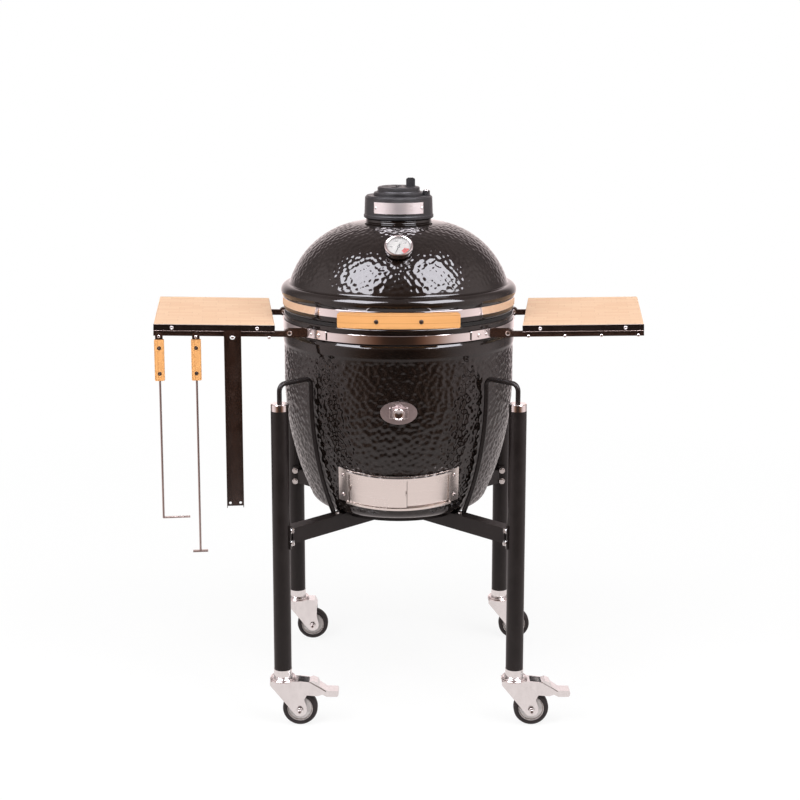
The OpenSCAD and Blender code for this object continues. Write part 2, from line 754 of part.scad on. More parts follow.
module draft_panel(r, a0, a1) {
  on_draft() translate([0, 0, -panel_h / 2]) sector(r, r + panel_t, -90 + a0, -90 + a1, panel_h);
}

module draft_panel_left() color(steel) {
  draft_panel(outer_panel_r, -panel_end_a, seam_a);
  on_draft() for (a = [0.6 - panel_end_a, seam_a - 0.6]) rotate([0, 0, a - 90])
    translate([outer_panel_r + panel_t / 2, -panel_t / 2, -pull_h / 2]) cube([7, panel_t, pull_h]);
}

module draft_panel_right() color(steel) draft_panel(inner_panel_r, seam_a - panel_lap_a, panel_end_a);

// Chip port

port_wall_r = wall_r(port_z);

module port_passage(w, h, reach) {
  translate([-w / 2, -bowl_r - 20, port_z - h / 2]) cube([w, bowl_r + 20 - reach + 60, h]);
}

// An ellipse as a closed list of points
function ellipse(a, b, n) = [for (i = [0:n - 1]) [a * cos(360 * i / n), b * sin(360 * i / n)]];

module port_plate() color(steel) difference() {
  union() {
    difference() {
      intersection() {
        translate([0, 0, port_z]) rotate([90, 0, 0])
          linear_extrude(bowl_r + 20) polygon(ellipse(port_w / 2, port_h / 2, 48));
        shell_solid(seat + port_t);
      }
      shell_solid(seat);
    }
    translate([-port_bore_w / 2 - port_sleeve_t, -port_wall_r - seat - port_t / 2,
               port_z - port_bore_h / 2 - port_sleeve_t])
      cube([port_bore_w + 2 * port_sleeve_t, wall + port_t / 2, port_bore_h + 2 * port_sleeve_t]);
  }
  translate([-port_bore_w / 2, -bowl_r - 20, port_z - port_bore_h / 2])
    cube([port_bore_w, wall + 60, port_bore_h]);
}

plug_face_y = -port_wall_r - seat - port_t - clear - 0.3;
plug_flange_t = 2.5;

module port_plug() color(steel) {
  flange_w = port_bore_w + 2 * plug_cover;
  flange_h = port_bore_h + 2 * plug_cover;
  translate([-flange_w / 2, plug_face_y - plug_flange_t, port_z - flange_h / 2])
    cube([flange_w, plug_flange_t, flange_h]);
  translate([-port_bore_w / 2 + clear, plug_face_y - 1, port_z - port_bore_h / 2 + clear])
    cube([port_bore_w - 2 * clear, plug_l + 1, port_bore_h - 2 * clear]);
  translate([0, plug_face_y - plug_flange_t + 0.5, port_z]) rotate([90, 0, 0]) turned(
    [[0, 0], [plug_knob_r * 0.5, 0], [plug_knob_r * 0.42, 6], [plug_knob_r - 1.5, 8], [plug_knob_r, 10],
     [plug_knob_r, 13], [plug_knob_r - 2, 15], [plug_knob_r - 4.5, 14], [0, 13.4]]);
}

// Small screws of the draft frame and the shelf brackets
module shell_screws() color(steel) {
  on_draft() for (s = [-1, 1], k = [-1, 1])
    rotate([0, 0, -90 + s * draft_screw_a])
      translate([draft_bend_r + draft_plate_t + seat, 0, k * draft_screw_s])
        rotate([0, 90, 0]) screw_head(4.2);
  for (side = [0, 1]) mirror([side, 0, 0]) {
    for (k = [0.35, 0.75]) bracket_screw(front_foot_a0 + k * (bracket_a - front_foot_a0));
    for (k = [0.3, 0.7]) bracket_screw(rear_foot_a + k * rear_foot_span);
  }
}

module bracket_screw(a) {
  rotate([0, 0, -90 + a]) translate([band_r + 2 * seat + foot_t, 0, base_band_z + base_band_h / 2])
    rotate([0, 90, 0]) screw_head(4.8);
}

// A pan head on z = 0
module screw_head(r) { turned([[0, 0], [r, 0], [r - 0.4, 1.4], [r * 0.55, 2.3], [0, 2.3]]); }

// Hinge at the back: two straps on the bands, cheeks, pin and two lift springs

hinge_y = band_r + hinge_reach;
hinge_z = seam_z + hinge_rise;
strap_in_r = band_r + seat;
strap_out_r = strap_in_r + hinge_t;
inner_cheek_x = hinge_span / 2 - 2 * hinge_t - clear;

// A cheek in the Y-Z plane from a band up or down to the pin
module hinge_cheek(x, z0, z1) {
  root_y = sqrt(strap_out_r * strap_out_r - pow(x + hinge_t, 2)) - hinge_t / 2;
  translate([x, 0, 0]) rotate([90, 0, 90]) linear_extrude(hinge_t) {
    translate([hinge_y, hinge_z]) circle(hinge_eye_r);
    polygon([[root_y, z0], [root_y, z1], [hinge_y - hinge_eye_r * 0.2, hinge_z + hinge_eye_r * 0.98],
             [hinge_y + hinge_eye_r * 0.2, hinge_z - hinge_eye_r * 0.98]]);
  }
}

module hinge_half(x, z, h, bore) {
  difference() {
    union() {
      translate([0, 0, z]) sector(strap_in_r, strap_out_r, 90 - hinge_strap_a, 90 + hinge_strap_a, h);
      for (side = [0, 1]) mirror([side, 0, 0]) hinge_cheek(x, z, z + h);
    }
    cylinder(r = strap_in_r, h = 2 * seam_z);
    translate([-hinge_span, hinge_y, hinge_z]) rotate([0, 90, 0]) cylinder(r = bore, h = 2 * hinge_span);
  }
}

module hinge_base() color(steel)
  hinge_half(hinge_span / 2 - hinge_t, base_band_z, base_band_h, hinge_pin_r + seat);

module hinge_lid() color(steel)
  hinge_half(inner_cheek_x, lid_band_z, lid_band_h, hinge_pin_r + run);

module hinge_pin() color(steel) {
  translate([-hinge_span / 2 - seat, hinge_y, hinge_z]) rotate([0, 90, 0]) {
    cylinder(r = hinge_pin_r, h = hinge_span + 2 * seat);
    for (x = [-4, hinge_span + 2 * seat]) translate([0, 0, x]) cylinder(r = hinge_pin_r + 3, h = 4);
  }
}

spring_len = inner_cheek_x - 4 - 2 * spring_wire;
spring_rings = 8;
spring_sides = 6;

// Middle line of a lift spring: a straight end, the turns, and a straight end, as [x, y, z]
function spring_line() = let (n = spring_turns * spring_rings) concat(
  [[0, -spring_wire, spring_coil_r]],
  [for (i = [0:n]) let (a = 360 * i / spring_rings)
    [spring_len * i / n, spring_coil_r * sin(a), spring_coil_r * cos(a)]],
  [[spring_len, spring_wire, spring_coil_r]]);

// One ring of points round the middle line, square to the line
function tube_ring(p, t, r, sides) =
  let (d = t / norm(t), u0 = cross(d, [1, 0, 0.001]), u = u0 / norm(u0), v = cross(d, u))
  [for (k = [0:sides - 1]) p + r * cos(360 * k / sides) * u + r * sin(360 * k / sides) * v];

function line_tangent(l, i) = l[min(i + 1, len(l) - 1)] - l[max(i - 1, 0)];

// Least distance between the wire of one turn and the next, on the points of the middle line
function least_gap(l) = min([for (i = [0:len(l) - 1], j = [0:len(l) - 1])
  if (j - i >= spring_rings - 1) norm(l[i] - l[j])]) - spring_wire;

echo("least gap of a lift spring to itself, mm", least_gap(spring_line()));

// A tube of triangles along a line of points
module tube_along(l, r, sides) {
  n = len(l);
  points = [for (i = [0:n - 1]) each tube_ring(l[i], line_tangent(l, i), r, sides)];
  skin = [for (i = [0:n - 2], k = [0:sides - 1])
    let (a = i * sides + k, b = i * sides + (k + 1) % sides)
    each [[a, b, b + sides], [a, b + sides, a + sides]]];
  ends = concat([for (k = [1:sides - 2]) [0, k + 1, k]],
                [for (k = [1:sides - 2]) [(n - 1) * sides, (n - 1) * sides + k, (n - 1) * sides + k + 1]]);
  polyhedron(points, [for (f = concat(skin, ends)) [f[0], f[2], f[1]]]);
}

module hinge_springs() color(steel) {
  for (side = [0, 1]) mirror([side, 0, 0])
    translate([2 + spring_wire, hinge_y, hinge_z]) tube_along(spring_line(), spring_wire / 2, spring_sides);
}

// Lid

module lid_dome() color(glaze) difference() {
  inner_top_a = acos((flue_r - dome_centre_r) / (dome_r - wall));
  inner_foot_a = asin((lid_foot_z - dome_z) / (dome_r - wall));
  neck_a = acos((neck_r - dome_centre_r) / dome_r);
  turned(concat(
    [[rim_r - 4, lid_foot_z], [rim_r, lid_foot_z + 4]],
    arc_points(bead_reach, bead_z, bead_r, bead_foot_a, bead_top_a, 14),
    arc_points(dome_centre_r, dome_z, dome_r, dome_start, neck_a, 30, 1),
    [[neck_r, neck_z], [flue_r, neck_z]],
    reversed(arc_points(dome_centre_r, dome_z, dome_r - wall, inner_foot_a, inner_top_a, 24))));
  on_thermo() translate([0, 0, -2 * wall]) cylinder(r = thermo_stem_r + seat, h = 3 * wall);
}

// The bowed handle bar: its bow's centre lies behind the grill
handle_face_y = -band_r - handle_gap;
bow_y = handle_face_y + handle_bow_r;
handle_z = seam_z + handle_rise;
handle_half_a = asin(handle_len / 2 / (handle_bow_r + handle_d / 2));

module on_bow() { translate([0, bow_y, handle_z]) children(); }

module handle_bar() color(bamboo) difference() {
  on_bow() rotate([0, 0, -90 - handle_half_a]) rotate_extrude(angle = 2 * handle_half_a)
    translate([handle_bow_r + handle_d / 2, 0]) round_rect(handle_d, handle_h, handle_edge_r);
  at_handle_screws() cylinder(r = handle_screw_r + seat, h = 2 * handle_d, center = true, $fn = 32);
}

handle_screw_r = 3;
handle_head_r = 5;

module at_handle_screws() {
  a = asin(handle_screw_x / handle_bow_r);
  for (s = [-1, 1]) on_bow() rotate([0, 0, -90 + s * a])
    translate([handle_bow_r + handle_d, 0, 0]) rotate([0, 90, 0]) children();
}

module handle_screws() color(iron) at_handle_screws() {
  translate([0, 0, -handle_d]) cylinder(r = handle_screw_r, h = handle_d + seat, $fn = 32);
  translate([0, 0, seat]) screw_head(handle_head_r);
}

// Each bracket: a foot on the lid band, a leg to the front and a flange along the back of the bar
module handle_brackets() color(steel) {
  foot_a = asin(handle_leg_x / strap_in_r);
  flange_r = handle_bow_r - seat;
  leg_a = asin(handle_leg_x / flange_r);
  leg_back = strap_in_r - sqrt(strap_in_r * strap_in_r - pow(handle_leg_x, 2));
  for (side = [0, 1]) mirror([side, 0, 0]) difference() {
    union() {
      translate([0, 0, handle_z - handle_strap_h / 2])
        sector(strap_in_r - 2, strap_in_r + handle_strap_t,
               -90 + foot_a - 0.3, -90 + foot_a + 9, handle_strap_h);
      on_bow() translate([0, 0, -handle_strap_h / 2])
        sector(flange_r - handle_strap_t, flange_r + 2,
               -90 + leg_a * 0.45, -90 + leg_a - 0.1, handle_strap_h);
      translate([handle_leg_x - handle_strap_t, handle_face_y - 1, handle_z - handle_strap_h / 2])
        cube([handle_strap_t, handle_gap + leg_back + 3, handle_strap_h]);
    }
    translate([0, 0, handle_z - handle_strap_h]) cylinder(r = strap_in_r, h = 2 * handle_strap_h);
    on_bow() difference() {
      translate([0, 0, -handle_strap_h]) cylinder(r = flange_r + 2 * handle_d, h = 2 * handle_strap_h);
      translate([0, 0, -handle_strap_h - 1]) cylinder(r = flange_r, h = 2 * handle_strap_h + 2);
    }
    at_handle_screws() cylinder(r = handle_screw_r + seat, h = 4 * handle_d, center = true, $fn = 32);
  }
}

// Thermometer: +Z out of the face, +Y up the face

face_r = thermo_r - thermo_wall;
dial_z = thermo_h - 7;
needle_z = dial_z + 1 + clear;
glass_z = thermo_h - thermo_glass_t - 1;
needle_pin_r = 1.2;
needle_t = 0.8;

module on_thermo() {
  translate([0, -dome_centre_r - dome_r * cos(thermo_a), dome_z + dome_r * sin(thermo_a)])
    rotate([90 - thermo_a, 0, 0]) children();
}

module thermo_case() color(steel) on_thermo() difference() {
  union() {
    turned([[0, 0.3], [thermo_stem_r + 6, 0.3], [thermo_stem_r + 8, 3], [thermo_r - 4, 3], [thermo_r - 2, 4],
            [thermo_r - 2, thermo_h - 7], [thermo_r, thermo_h - 6], [thermo_r, thermo_h - 1.5],
            [thermo_r - 1.5, thermo_h], [face_r, thermo_h], [face_r - 2, thermo_h - 1 + seat],
            [0, thermo_h - 1 + seat]]);
    translate([0, 0, -thermo_probe]) cylinder(r = thermo_stem_r, h = thermo_probe + 1);
  }
  translate([0, 0, dial_z - seat]) cylinder(r = face_r, h = thermo_h - 1 - dial_z + seat);
  translate([0, 0, thermo_h - 2]) cylinder(r = face_r - 2, h = 4);
}

module thermo_dial() color("white") on_thermo() translate([0, 0, dial_z]) {
  cylinder(r = face_r - seat, h = 1);
  cylinder(r = needle_pin_r, h = 1 + clear + 2 * needle_t, $fn = 24);
}

module thermo_needle() color("black") on_thermo() translate([0, 0, needle_z]) rotate([0, 0, needle_a])
  difference() {
    linear_extrude(needle_t) {
      circle(3, $fn = 32);
      polygon([[0, -1.2], [face_r - 8, -0.3], [face_r - 8, 0.3], [0, 1.2], [-8, 1.6], [-8, -1.6]]);
    }
    translate([0, 0, -1]) cylinder(r = needle_pin_r + run, h = 4, $fn = 24);
  }

module thermo_lens() color("white", 0.3) on_thermo() translate([0, 0, glass_z])
  cylinder(r = face_r - seat, h = thermo_glass_t);

// Top vent

vent_z = neck_z + seat;
vent_top_z = vent_z + vent_h;
cap_z = vent_top_z + clear;
cap_top_z = cap_z + cap_h;
wheel_z = cap_top_z + clear;
wheel_top_z = wheel_z + wheel_disc_t;
hub_pin_r = 4;
hub_head_r = 7;

module vent_collar() color(iron) difference() {
  turned([[flue_r + 2, vent_z], [vent_foot_r - 2, vent_z], [vent_foot_r, vent_z + 2],
          [vent_foot_r, vent_z + 7], [vent_foot_r - 1.5, vent_z + 9], [vent_top_r, vent_top_z - 4],
          [vent_top_r - 4, vent_top_z],
          [vent_throat_r, vent_top_z], [vent_throat_r, vent_top_z - vent_roof_t],
          [flue_r + 2, vent_top_z - vent_roof_t - 8]]);
  translate([cap_pivot_x, 0, vent_top_z - vent_roof_t + 1])
    cylinder(r = cap_pin_r + seat, h = vent_roof_t, $fn = 32);
}

module vent_pivot_screw() color(steel) translate([cap_pivot_x, 0, 0]) {
  translate([0, 0, vent_top_z - vent_roof_t + 1 + seat])
    cylinder(r = cap_pin_r, h = vent_roof_t - 1 + clear + cap_h + clear, $fn = 32);
  translate([0, 0, cap_top_z + clear]) screw_head(cap_pin_r + 2.5);
}

// One petal: a round end and a taper to the middle
module petal(r) {
  translate([petal_reach, 0]) circle(r, $fn = 32);
  polygon([[hub_head_r + 4, 0], [petal_reach, r], [petal_reach, -r]]);
}

module petal_cuts(z, h, a) {
  for (i = [0:petals - 1]) rotate([0, 0, a + i * 360 / petals]) translate([0, 0, z])
    linear_extrude(h) petal(petal_r);
}

module vent_cap() color(iron) {
  difference() {
    union() {
      translate([0, 0, cap_z]) turned(
        [[0, 0], [cap_r, 0], [cap_r, cap_h * 0.55], [cap_r - 2, cap_h * 0.75],
         [wheel_disc_r + 2, cap_h * 0.8], [wheel_disc_r + 1, cap_h], [0, cap_h]]);
      translate([cap_pivot_x, 0, cap_z]) cylinder(r = cap_lug_r, h = cap_h, $fn = 48);
    }
    petal_cuts(cap_z - 1, cap_h + 2, 0);
    translate([cap_pivot_x, 0, cap_z - 1]) cylinder(r = cap_pin_r + run, h = cap_h + 2, $fn = 32);
  }
  translate([0, 0, cap_top_z - 1]) cylinder(r = hub_pin_r, h = wheel_disc_t + 2 * clear + 1, $fn = 32);
  translate([0, 0, wheel_top_z + clear]) screw_head(hub_head_r);
}

module vent_wheel() color(iron) difference() {
  union() {
    translate([0, 0, wheel_z]) turned(
      [[0, 0], [wheel_disc_r, 0], [wheel_disc_r, wheel_disc_t - 3], [wheel_disc_r - 2, wheel_disc_t - 1],
       [wheel_disc_r - 6, wheel_disc_t], [0, wheel_disc_t]]);
    translate([28, -4, wheel_top_z - 1]) upright(8) {
      translate([-knob_w / 2, 0]) square([knob_w, knob_h - 4]);
      translate([-knob_w / 2 + 4, 0]) square([knob_w - 8, knob_h + 1]);
      for (s = [-1, 1]) translate([s * (knob_w / 2 - 4), knob_h - 4]) circle(4, $fn = 32);
    }
  }
  petal_cuts(wheel_z - 1, wheel_disc_t + 2, 180 / petals);
  translate([0, 0, wheel_z - 1]) cylinder(r = hub_pin_r + run, h = wheel_disc_t + 2, $fn = 32);
}

vent_lean = atan((vent_foot_r - 1.5 - vent_top_r) / (vent_h - 13));

// The bare plate is rolled a little wider than the collar's widest girth behind it
module vent_plate() color(steel) {
  mid_z = vent_z + vent_h * 0.53;
  in_r = vent_foot_r - 1.5 - (mid_z - vent_plate_h / 2 - vent_z - 9) * tan(vent_lean) + seat;
  half_a = asin(vent_plate_w / 2 / (in_r + vent_plate_t));
  rivet_a = half_a - 3;
  translate([0, 0, mid_z - vent_plate_h / 2])
    sector(in_r, in_r + vent_plate_t, -90 - half_a, -90 + half_a, vent_plate_h);
  for (s = [-1, 1]) rotate([0, 0, -90 + s * rivet_a])
    translate([in_r + vent_plate_t + seat, 0, mid_z]) rotate([0, 90, 0]) screw_head(3.2);
}

// Side shelves: x outwards from the pivots, y to the back along them, mirrored for the left shelf

splay_u = [cos(shelf_splay), -sin(shelf_splay)];
splay_n = [sin(shelf_splay), cos(shelf_splay)];
foot_t = 3;
foot_in_r = band_r + seat;
bracket_root = foot_in_r * [sin(bracket_a), -cos(bracket_a)];
pivot_front = bracket_root + bracket_l * splay_u;
pivot_rear = pivot_front + pivot_span * splay_n;
pivot_z = base_band_z + base_band_h / 2 + 2;
front_foot_a0 = bracket_a - 13;
rear_along = pivot_rear * splay_u;
rear_inward = rear_along - sqrt(rear_along * rear_along - pivot_rear * pivot_rear + foot_in_r * foot_in_r);
rear_root = pivot_rear - rear_inward * splay_u;
rear_foot_a = 90 + atan2(rear_root[1], rear_root[0]);
rear_foot_span = 11;
fork_cheek_t = 3;
cheek_y = shelf_rail_t / 2 + clear;
tongue_r = rail_h / 2;
bracket_h = rail_h + 6;
bracket_eye = 0.6;
peg_z = -6.5;
board_z = rail_h / 2 - 2.5;
trim_y = shelf_rail_t / 2 + trim_t + 1;

module on_right_pivots() {
  translate([pivot_front[0], pivot_front[1], pivot_z]) rotate([0, 0, -shelf_splay]) children();
}

module on_shelf(side) {
  mirror([side < 0 ? 1 : 0, 0, 0]) on_right_pivots() rotate([0, -shelf_rise, 0]) children();
}

// One bracket: a foot bent to the band and two cheeks that take the shelf's tongue
module bracket(y, inward, a0, a1) {
  difference() {
    union() {
      translate([0, 0, pivot_z - bracket_h / 2 - 0.5])
        sector(foot_in_r - foot_t, foot_in_r + foot_t, -90 + a0, -90 + a1, bracket_h + 1);
      on_right_pivots() for (s = [-1, 1])
        translate([0, y + (s > 0 ? cheek_y : -cheek_y - fork_cheek_t), 0]) upright(fork_cheek_t) {
          circle(bracket_h / 2 + bracket_eye);
          translate([-inward - 8, -bracket_h / 2]) square([inward + 8, bracket_h]);
        }
      on_right_pivots() translate([-inward - 8.5, y - cheek_y - 1, -bracket_h / 2 + 1])
        cube([inward + 8.5 - tongue_r - 4, 2 * cheek_y + 2, bracket_h - 2]);
    }
    translate([0, 0, pivot_z - bracket_h]) cylinder(r = foot_in_r, h = 2 * bracket_h);
    on_right_pivots() translate([0, y + 50, 0]) rotate([90, 0, 0]) cylinder(r = pivot_r + seat, h = 100);
  }
}

module shelf_brackets() color(brown) {
  for (side = [0, 1]) mirror([side, 0, 0]) {
    bracket(0, bracket_l, front_foot_a0, bracket_a + 2);
    bracket(pivot_span, rear_inward, rear_foot_a - 2, rear_foot_a + rear_foot_span);
  }
}

module pivot_bolts() color(steel) {
  for (side = [0, 1]) mirror([side, 0, 0]) on_right_pivots() for (y = [0, pivot_span])
    translate([0, y, 0]) rotate([90, 0, 0]) {
      translate([0, 0, -cheek_y - fork_cheek_t]) cylinder(r = pivot_r, h = 2 * (cheek_y + fork_cheek_t));
      translate([0, 0, cheek_y + fork_cheek_t + seat]) screw_head(pivot_r + 2);
      translate([0, 0, -cheek_y - fork_cheek_t - 4 - seat]) cylinder(r = pivot_r + 2.5, h = 4, $fn = 6);
    }
}

module shelf_board() {
  translate([shelf_inset, -shelf_rail_t / 2 - 1, board_z + seat]) cube([shelf_w, shelf_d, shelf_t]);
}

module shelf_rail(y, length) {
  difference() {
    translate([0, y - shelf_rail_t / 2, 0]) upright(shelf_rail_t) {
      translate([0, -2.5]) circle(tongue_r);
      translate([0, board_z - rail_h]) square([length, rail_h]);
    }
    translate([0, y + 50, 0]) rotate([90, 0, 0]) cylinder(r = pivot_r + run, h = 100);
  }
}

module shelf_frame(free_l) {
  shelf_rail(0, shelf_inset + shelf_w);
  shelf_rail(pivot_span, shelf_inset + shelf_w - 20);
  translate([shelf_inset, -trim_y - seat, board_z - 2]) cube([shelf_w, trim_t, shelf_t + 2]);
  translate([shelf_inset, -trim_y - seat, board_z - 2]) cube([shelf_w, trim_y, 2]);
  translate([shelf_inset + shelf_w - 24, 0, board_z - trim_t])
    cube([trim_t, pivot_span, trim_t]);
  for (i = [0:pegs - 1]) translate([peg_x(i), -shelf_rail_t / 2 + 1, peg_z]) rotate([90, 0, 0]) {
    cylinder(r = peg_r, h = free_l + 1, $fn = 32);
    translate([0, 0, free_l + 1]) cylinder(r = peg_r + 1, h = 2, $fn = 32);
  }
}

function peg_x(i) = shelf_inset + peg_first + i * peg_pitch;

module left_shelf_board() color(bamboo) on_shelf(-1) shelf_board();
module right_shelf_board() color(bamboo) on_shelf(1) shelf_board();
module left_shelf_frame() color(brown) on_shelf(-1) shelf_frame(peg_l);
module right_shelf_frame() color(brown) on_shelf(1) shelf_frame(spare_peg_l);

// Tools on the left shelf's pegs: origin at the peg, z up, plumb, x outwards

tool_gap = 1;
tool_y = -trim_y - tool_gap;
poker_y = tool_y - 7;
grip_slot = 0.15;
tang_in_w = 9;

module on_peg(i) { on_shelf(-1) translate([peg_x(i), 0, peg_z]) rotate([0, shelf_rise, 0]) children(); }

// Tang through a grip, and the rod under it, with its middle plane at y
module tool_shaft(y, rod_l) {
  difference() {
    translate([0, y - tang_t / 2, 0]) upright(tang_t) {
      circle(tang_w / 2);
      translate([-tang_w / 2, -grip_drop]) square([tang_w, grip_drop]);
      translate([-tang_in_w / 2, -grip_drop - grip_l]) square([tang_in_w, grip_l]);
    }
    translate([0, y + 50, 0]) rotate([90, 0, 0]) cylinder(r = peg_r + clear, h = 100, $fn = 32);
  }
  translate([0, y, -grip_drop - grip_l - rod_l]) cylinder(r = tool_rod_r, h = rod_l + 6, $fn = 32);
}

// Bamboo grip with a slot for the tang
module tool_grip(y) {
  difference() {
    translate([0, y, -grip_drop - seat - grip_l]) linear_extrude(grip_l) round_rect(grip_w, grip_t, 4);
    translate([-tang_in_w / 2 - grip_slot, y - tang_t / 2 - grip_slot, -grip_drop - grip_l - 1])
      cube([tang_in_w + 2 * grip_slot, tang_t + 2 * grip_slot, grip_l + 2]);
    translate([0, y, -grip_drop - grip_l - 1]) cylinder(r = tool_rod_r + grip_slot, h = 8, $fn = 32);
  }
}

poker_mid_y = poker_y - grip_t / 2;
pusher_mid_y = tool_y - grip_t / 2;
poker_foot_z = -grip_drop - grip_l - poker_l;

module poker() color(steel) on_peg(pegs - 1) {
  tool_shaft(poker_mid_y, poker_l);
  translate([0, poker_mid_y, poker_foot_z]) {
    sphere(tool_rod_r, $fn = 32);
    rotate([0, -90, 0]) cylinder(r = tool_rod_r, h = poker_foot, $fn = 32);
  }
}

module poker_grip() color(bamboo) on_peg(pegs - 1) tool_grip(poker_mid_y);

module pusher() color(steel) on_peg(pegs - 2) {
  tool_shaft(pusher_mid_y, pusher_l);
  translate([-pusher_foot_w / 2, pusher_mid_y - tool_rod_r - 1, -grip_drop - grip_l - pusher_l - 2])
    cube([pusher_foot_w, 2 * tool_rod_r + 2, 4]);
}

module pusher_grip() color(bamboo) on_peg(pegs - 2) tool_grip(pusher_mid_y);

trough_head = 12;

module chip_trough() color(brown) on_peg(pegs - 3) difference() {
  translate([-trough_w / 2, tool_y - trough_d, trough_head - trough_l]) difference() {
    cube([trough_w, trough_d, trough_l]);
    translate([trough_t, -1, -1]) cube([trough_w - 2 * trough_t, trough_d - trough_t + 1, trough_l + 2]);
  }
  translate([0, tool_y + 5, -trough_hole_r + peg_r + clear]) rotate([90, 0, 0])
    cylinder(r = trough_hole_r, h = 10);
  for (s = [-1, 1]) translate([s * trough_w * 0.3, tool_y + 5, trough_head - trough_l + 7])
    rotate([90, 0, 0]) cylinder(r = 3, h = 10, $fn = 32);
}

// Casters: origin on the floor under the post, wheel trailing to +X

crown_z = swivel_z - raceway_h;
crown_t = 6;
fork_in = wheel_w / 2 + fork_gap;
fork_out = fork_in + fork_t;
nut_r = 7.5;
nut_h = 5;
pedal_pivot = [brake_reach - 16, wheel_r + 42];
pedal_pin_r = 3;
pedal_w = 2 * fork_in - 2 * clear;

module at_caster(x, y) { translate([x * caster_x, y * caster_x, 0]) children(); }

// Fork cheek without a brake
module plain_cheek() {
  translate([trail, wheel_r]) circle(fork_end_r);
  polygon([[-raceway_r, crown_z], [-raceway_r, crown_z - 9],
           [trail - fork_end_r * 0.82, wheel_r - fork_end_r * 0.57],
           [trail + fork_end_r, wheel_r + 4], [trail + 11, wheel_r + 24], [trail + 12, crown_z - 12],
           [trail + 6, crown_z]]);
}

// Fork cheek with a wing that carries the brake pedal
module brake_cheek() {
  translate([trail, wheel_r]) circle(fork_end_r);
  polygon([[-raceway_r, crown_z], [-raceway_r, crown_z - 9],
           [trail - fork_end_r * 0.82, wheel_r - fork_end_r * 0.57],
           [trail + fork_end_r, wheel_r + 6], [trail + 10, wheel_r + 24], [trail + 16, wheel_r + 35],
           [trail + 40, wheel_r + 33], [brake_reach - 1, wheel_r + 39], [brake_reach, wheel_r + 43],
           [trail + 46, wheel_r + 52], [trail + 24, crown_z - 3], [trail, crown_z]]);
}

module fork(braked) {
  difference() {
    union() {
      for (s = [0, 1]) mirror([0, s, 0]) translate([0, fork_in, 0]) upright(fork_t)
        if (braked) brake_cheek(); else plain_cheek();
      translate([-raceway_r, -fork_out, crown_z - crown_t])
        cube([raceway_r + (braked ? trail - 4 : trail + 6), 2 * fork_out, crown_t]);
      if (!braked) translate([0, -fork_out, 0]) upright(2 * fork_out)
        polygon([[trail, crown_z - crown_t], [trail + 6, crown_z], [trail + 12, crown_z - 12],
                 [trail + 12, crown_z - 18], [trail + 7, crown_z - 18], [trail + 5, crown_z - 10]]);
      translate([0, 0, crown_z - 1]) turned(
        [[0, 0], [raceway_r - 2, 0], [raceway_r, 2.5], [raceway_r - 1, 4.5],
         [raceway_r - 6, raceway_h + 1], [0, raceway_h + 1]]);
      translate([0, 0, swivel_z - 1]) cylinder(r = stem_r, h = stem_l + 1 - clear, $fn = 48);
      translate([trail, fork_out, wheel_r]) rotate([90, 0, 0])
        cylinder(r = axle_r, h = 2 * fork_out, $fn = 48);
      for (s = [-1, 1]) translate([trail, s * (fork_out + nut_h / 2 - 0.5), wheel_r]) rotate([90, 0, 0])
        cylinder(r = nut_r, h = nut_h, center = true, $fn = 6);
    }
    if (braked) translate([pedal_pivot[0], fork_out + 1, pedal_pivot[1]]) rotate([90, 0, 0])
      cylinder(r = pedal_pin_r + run, h = 2 * fork_out + 2, $fn = 32);
  }
}

// Rubber tyre on a dished hub
module caster_wheel() {
  half = wheel_w / 2;
  boss = half + fork_gap - clear;
  tyre_in_r = wheel_r - 11;
  translate([trail, 0, wheel_r]) rotate([90, 0, 0]) turned([
    [axle_r + run, -boss], [axle_r + 6, -boss], [axle_r + 6, -half + 5], [tyre_in_r - 2, -half + 5],
    [tyre_in_r, -half + 1], [wheel_r - 5, -half], [wheel_r - 1.5, -half + 2.5], [wheel_r, -half + 7],
    [wheel_r, half - 7], [wheel_r - 1.5, half - 2.5], [wheel_r - 5, half], [tyre_in_r, half - 1],
    [tyre_in_r - 2, half - 5], [axle_r + 6, half - 5], [axle_r + 6, boss], [axle_r + run, boss]]);
}

// Brake pedal: a foot pad over the fork's wing and a tongue behind it
module brake_pedal() {
  x = pedal_pivot[0];
  z = pedal_pivot[1];
  translate([0, -pedal_w / 2, 0]) upright(pedal_w) polygon([
    [x - 24, z + 12], [x - 22, z + 24], [x - 14, z + 27], [x - 3, z + 23], [x + 1, z + 15],
    [brake_reach + 2, z + 3], [pedal_reach - 2, z + 2], [pedal_reach, z - 3], [pedal_reach - 1, z - 9],
    [pedal_reach - 4, z - 12], [brake_reach + 2, z - 12], [x + 4, z - 5], [x - 6, z - 3], [x - 14, z + 6]]);
  translate([x, fork_out, z]) rotate([90, 0, 0]) cylinder(r = pedal_pin_r, h = 2 * fork_out, $fn = 32);
}

module front_left_fork() color(zinc) at_caster(-1, -1) fork(true);
module front_right_fork() color(zinc) at_caster(1, -1) fork(true);
module rear_left_fork() color(zinc) at_caster(-1, 1) fork(false);
module rear_right_fork() color(zinc) at_caster(1, 1) fork(false);
module front_left_wheel() color(black) at_caster(-1, -1) caster_wheel();
module front_right_wheel() color(black) at_caster(1, -1) caster_wheel();
module rear_left_wheel() color(black) at_caster(-1, 1) caster_wheel();
module rear_right_wheel() color(black) at_caster(1, 1) caster_wheel();
module front_left_pedal() color(zinc) at_caster(-1, -1) brake_pedal();
module front_right_pedal() color(zinc) at_caster(1, -1) brake_pedal();

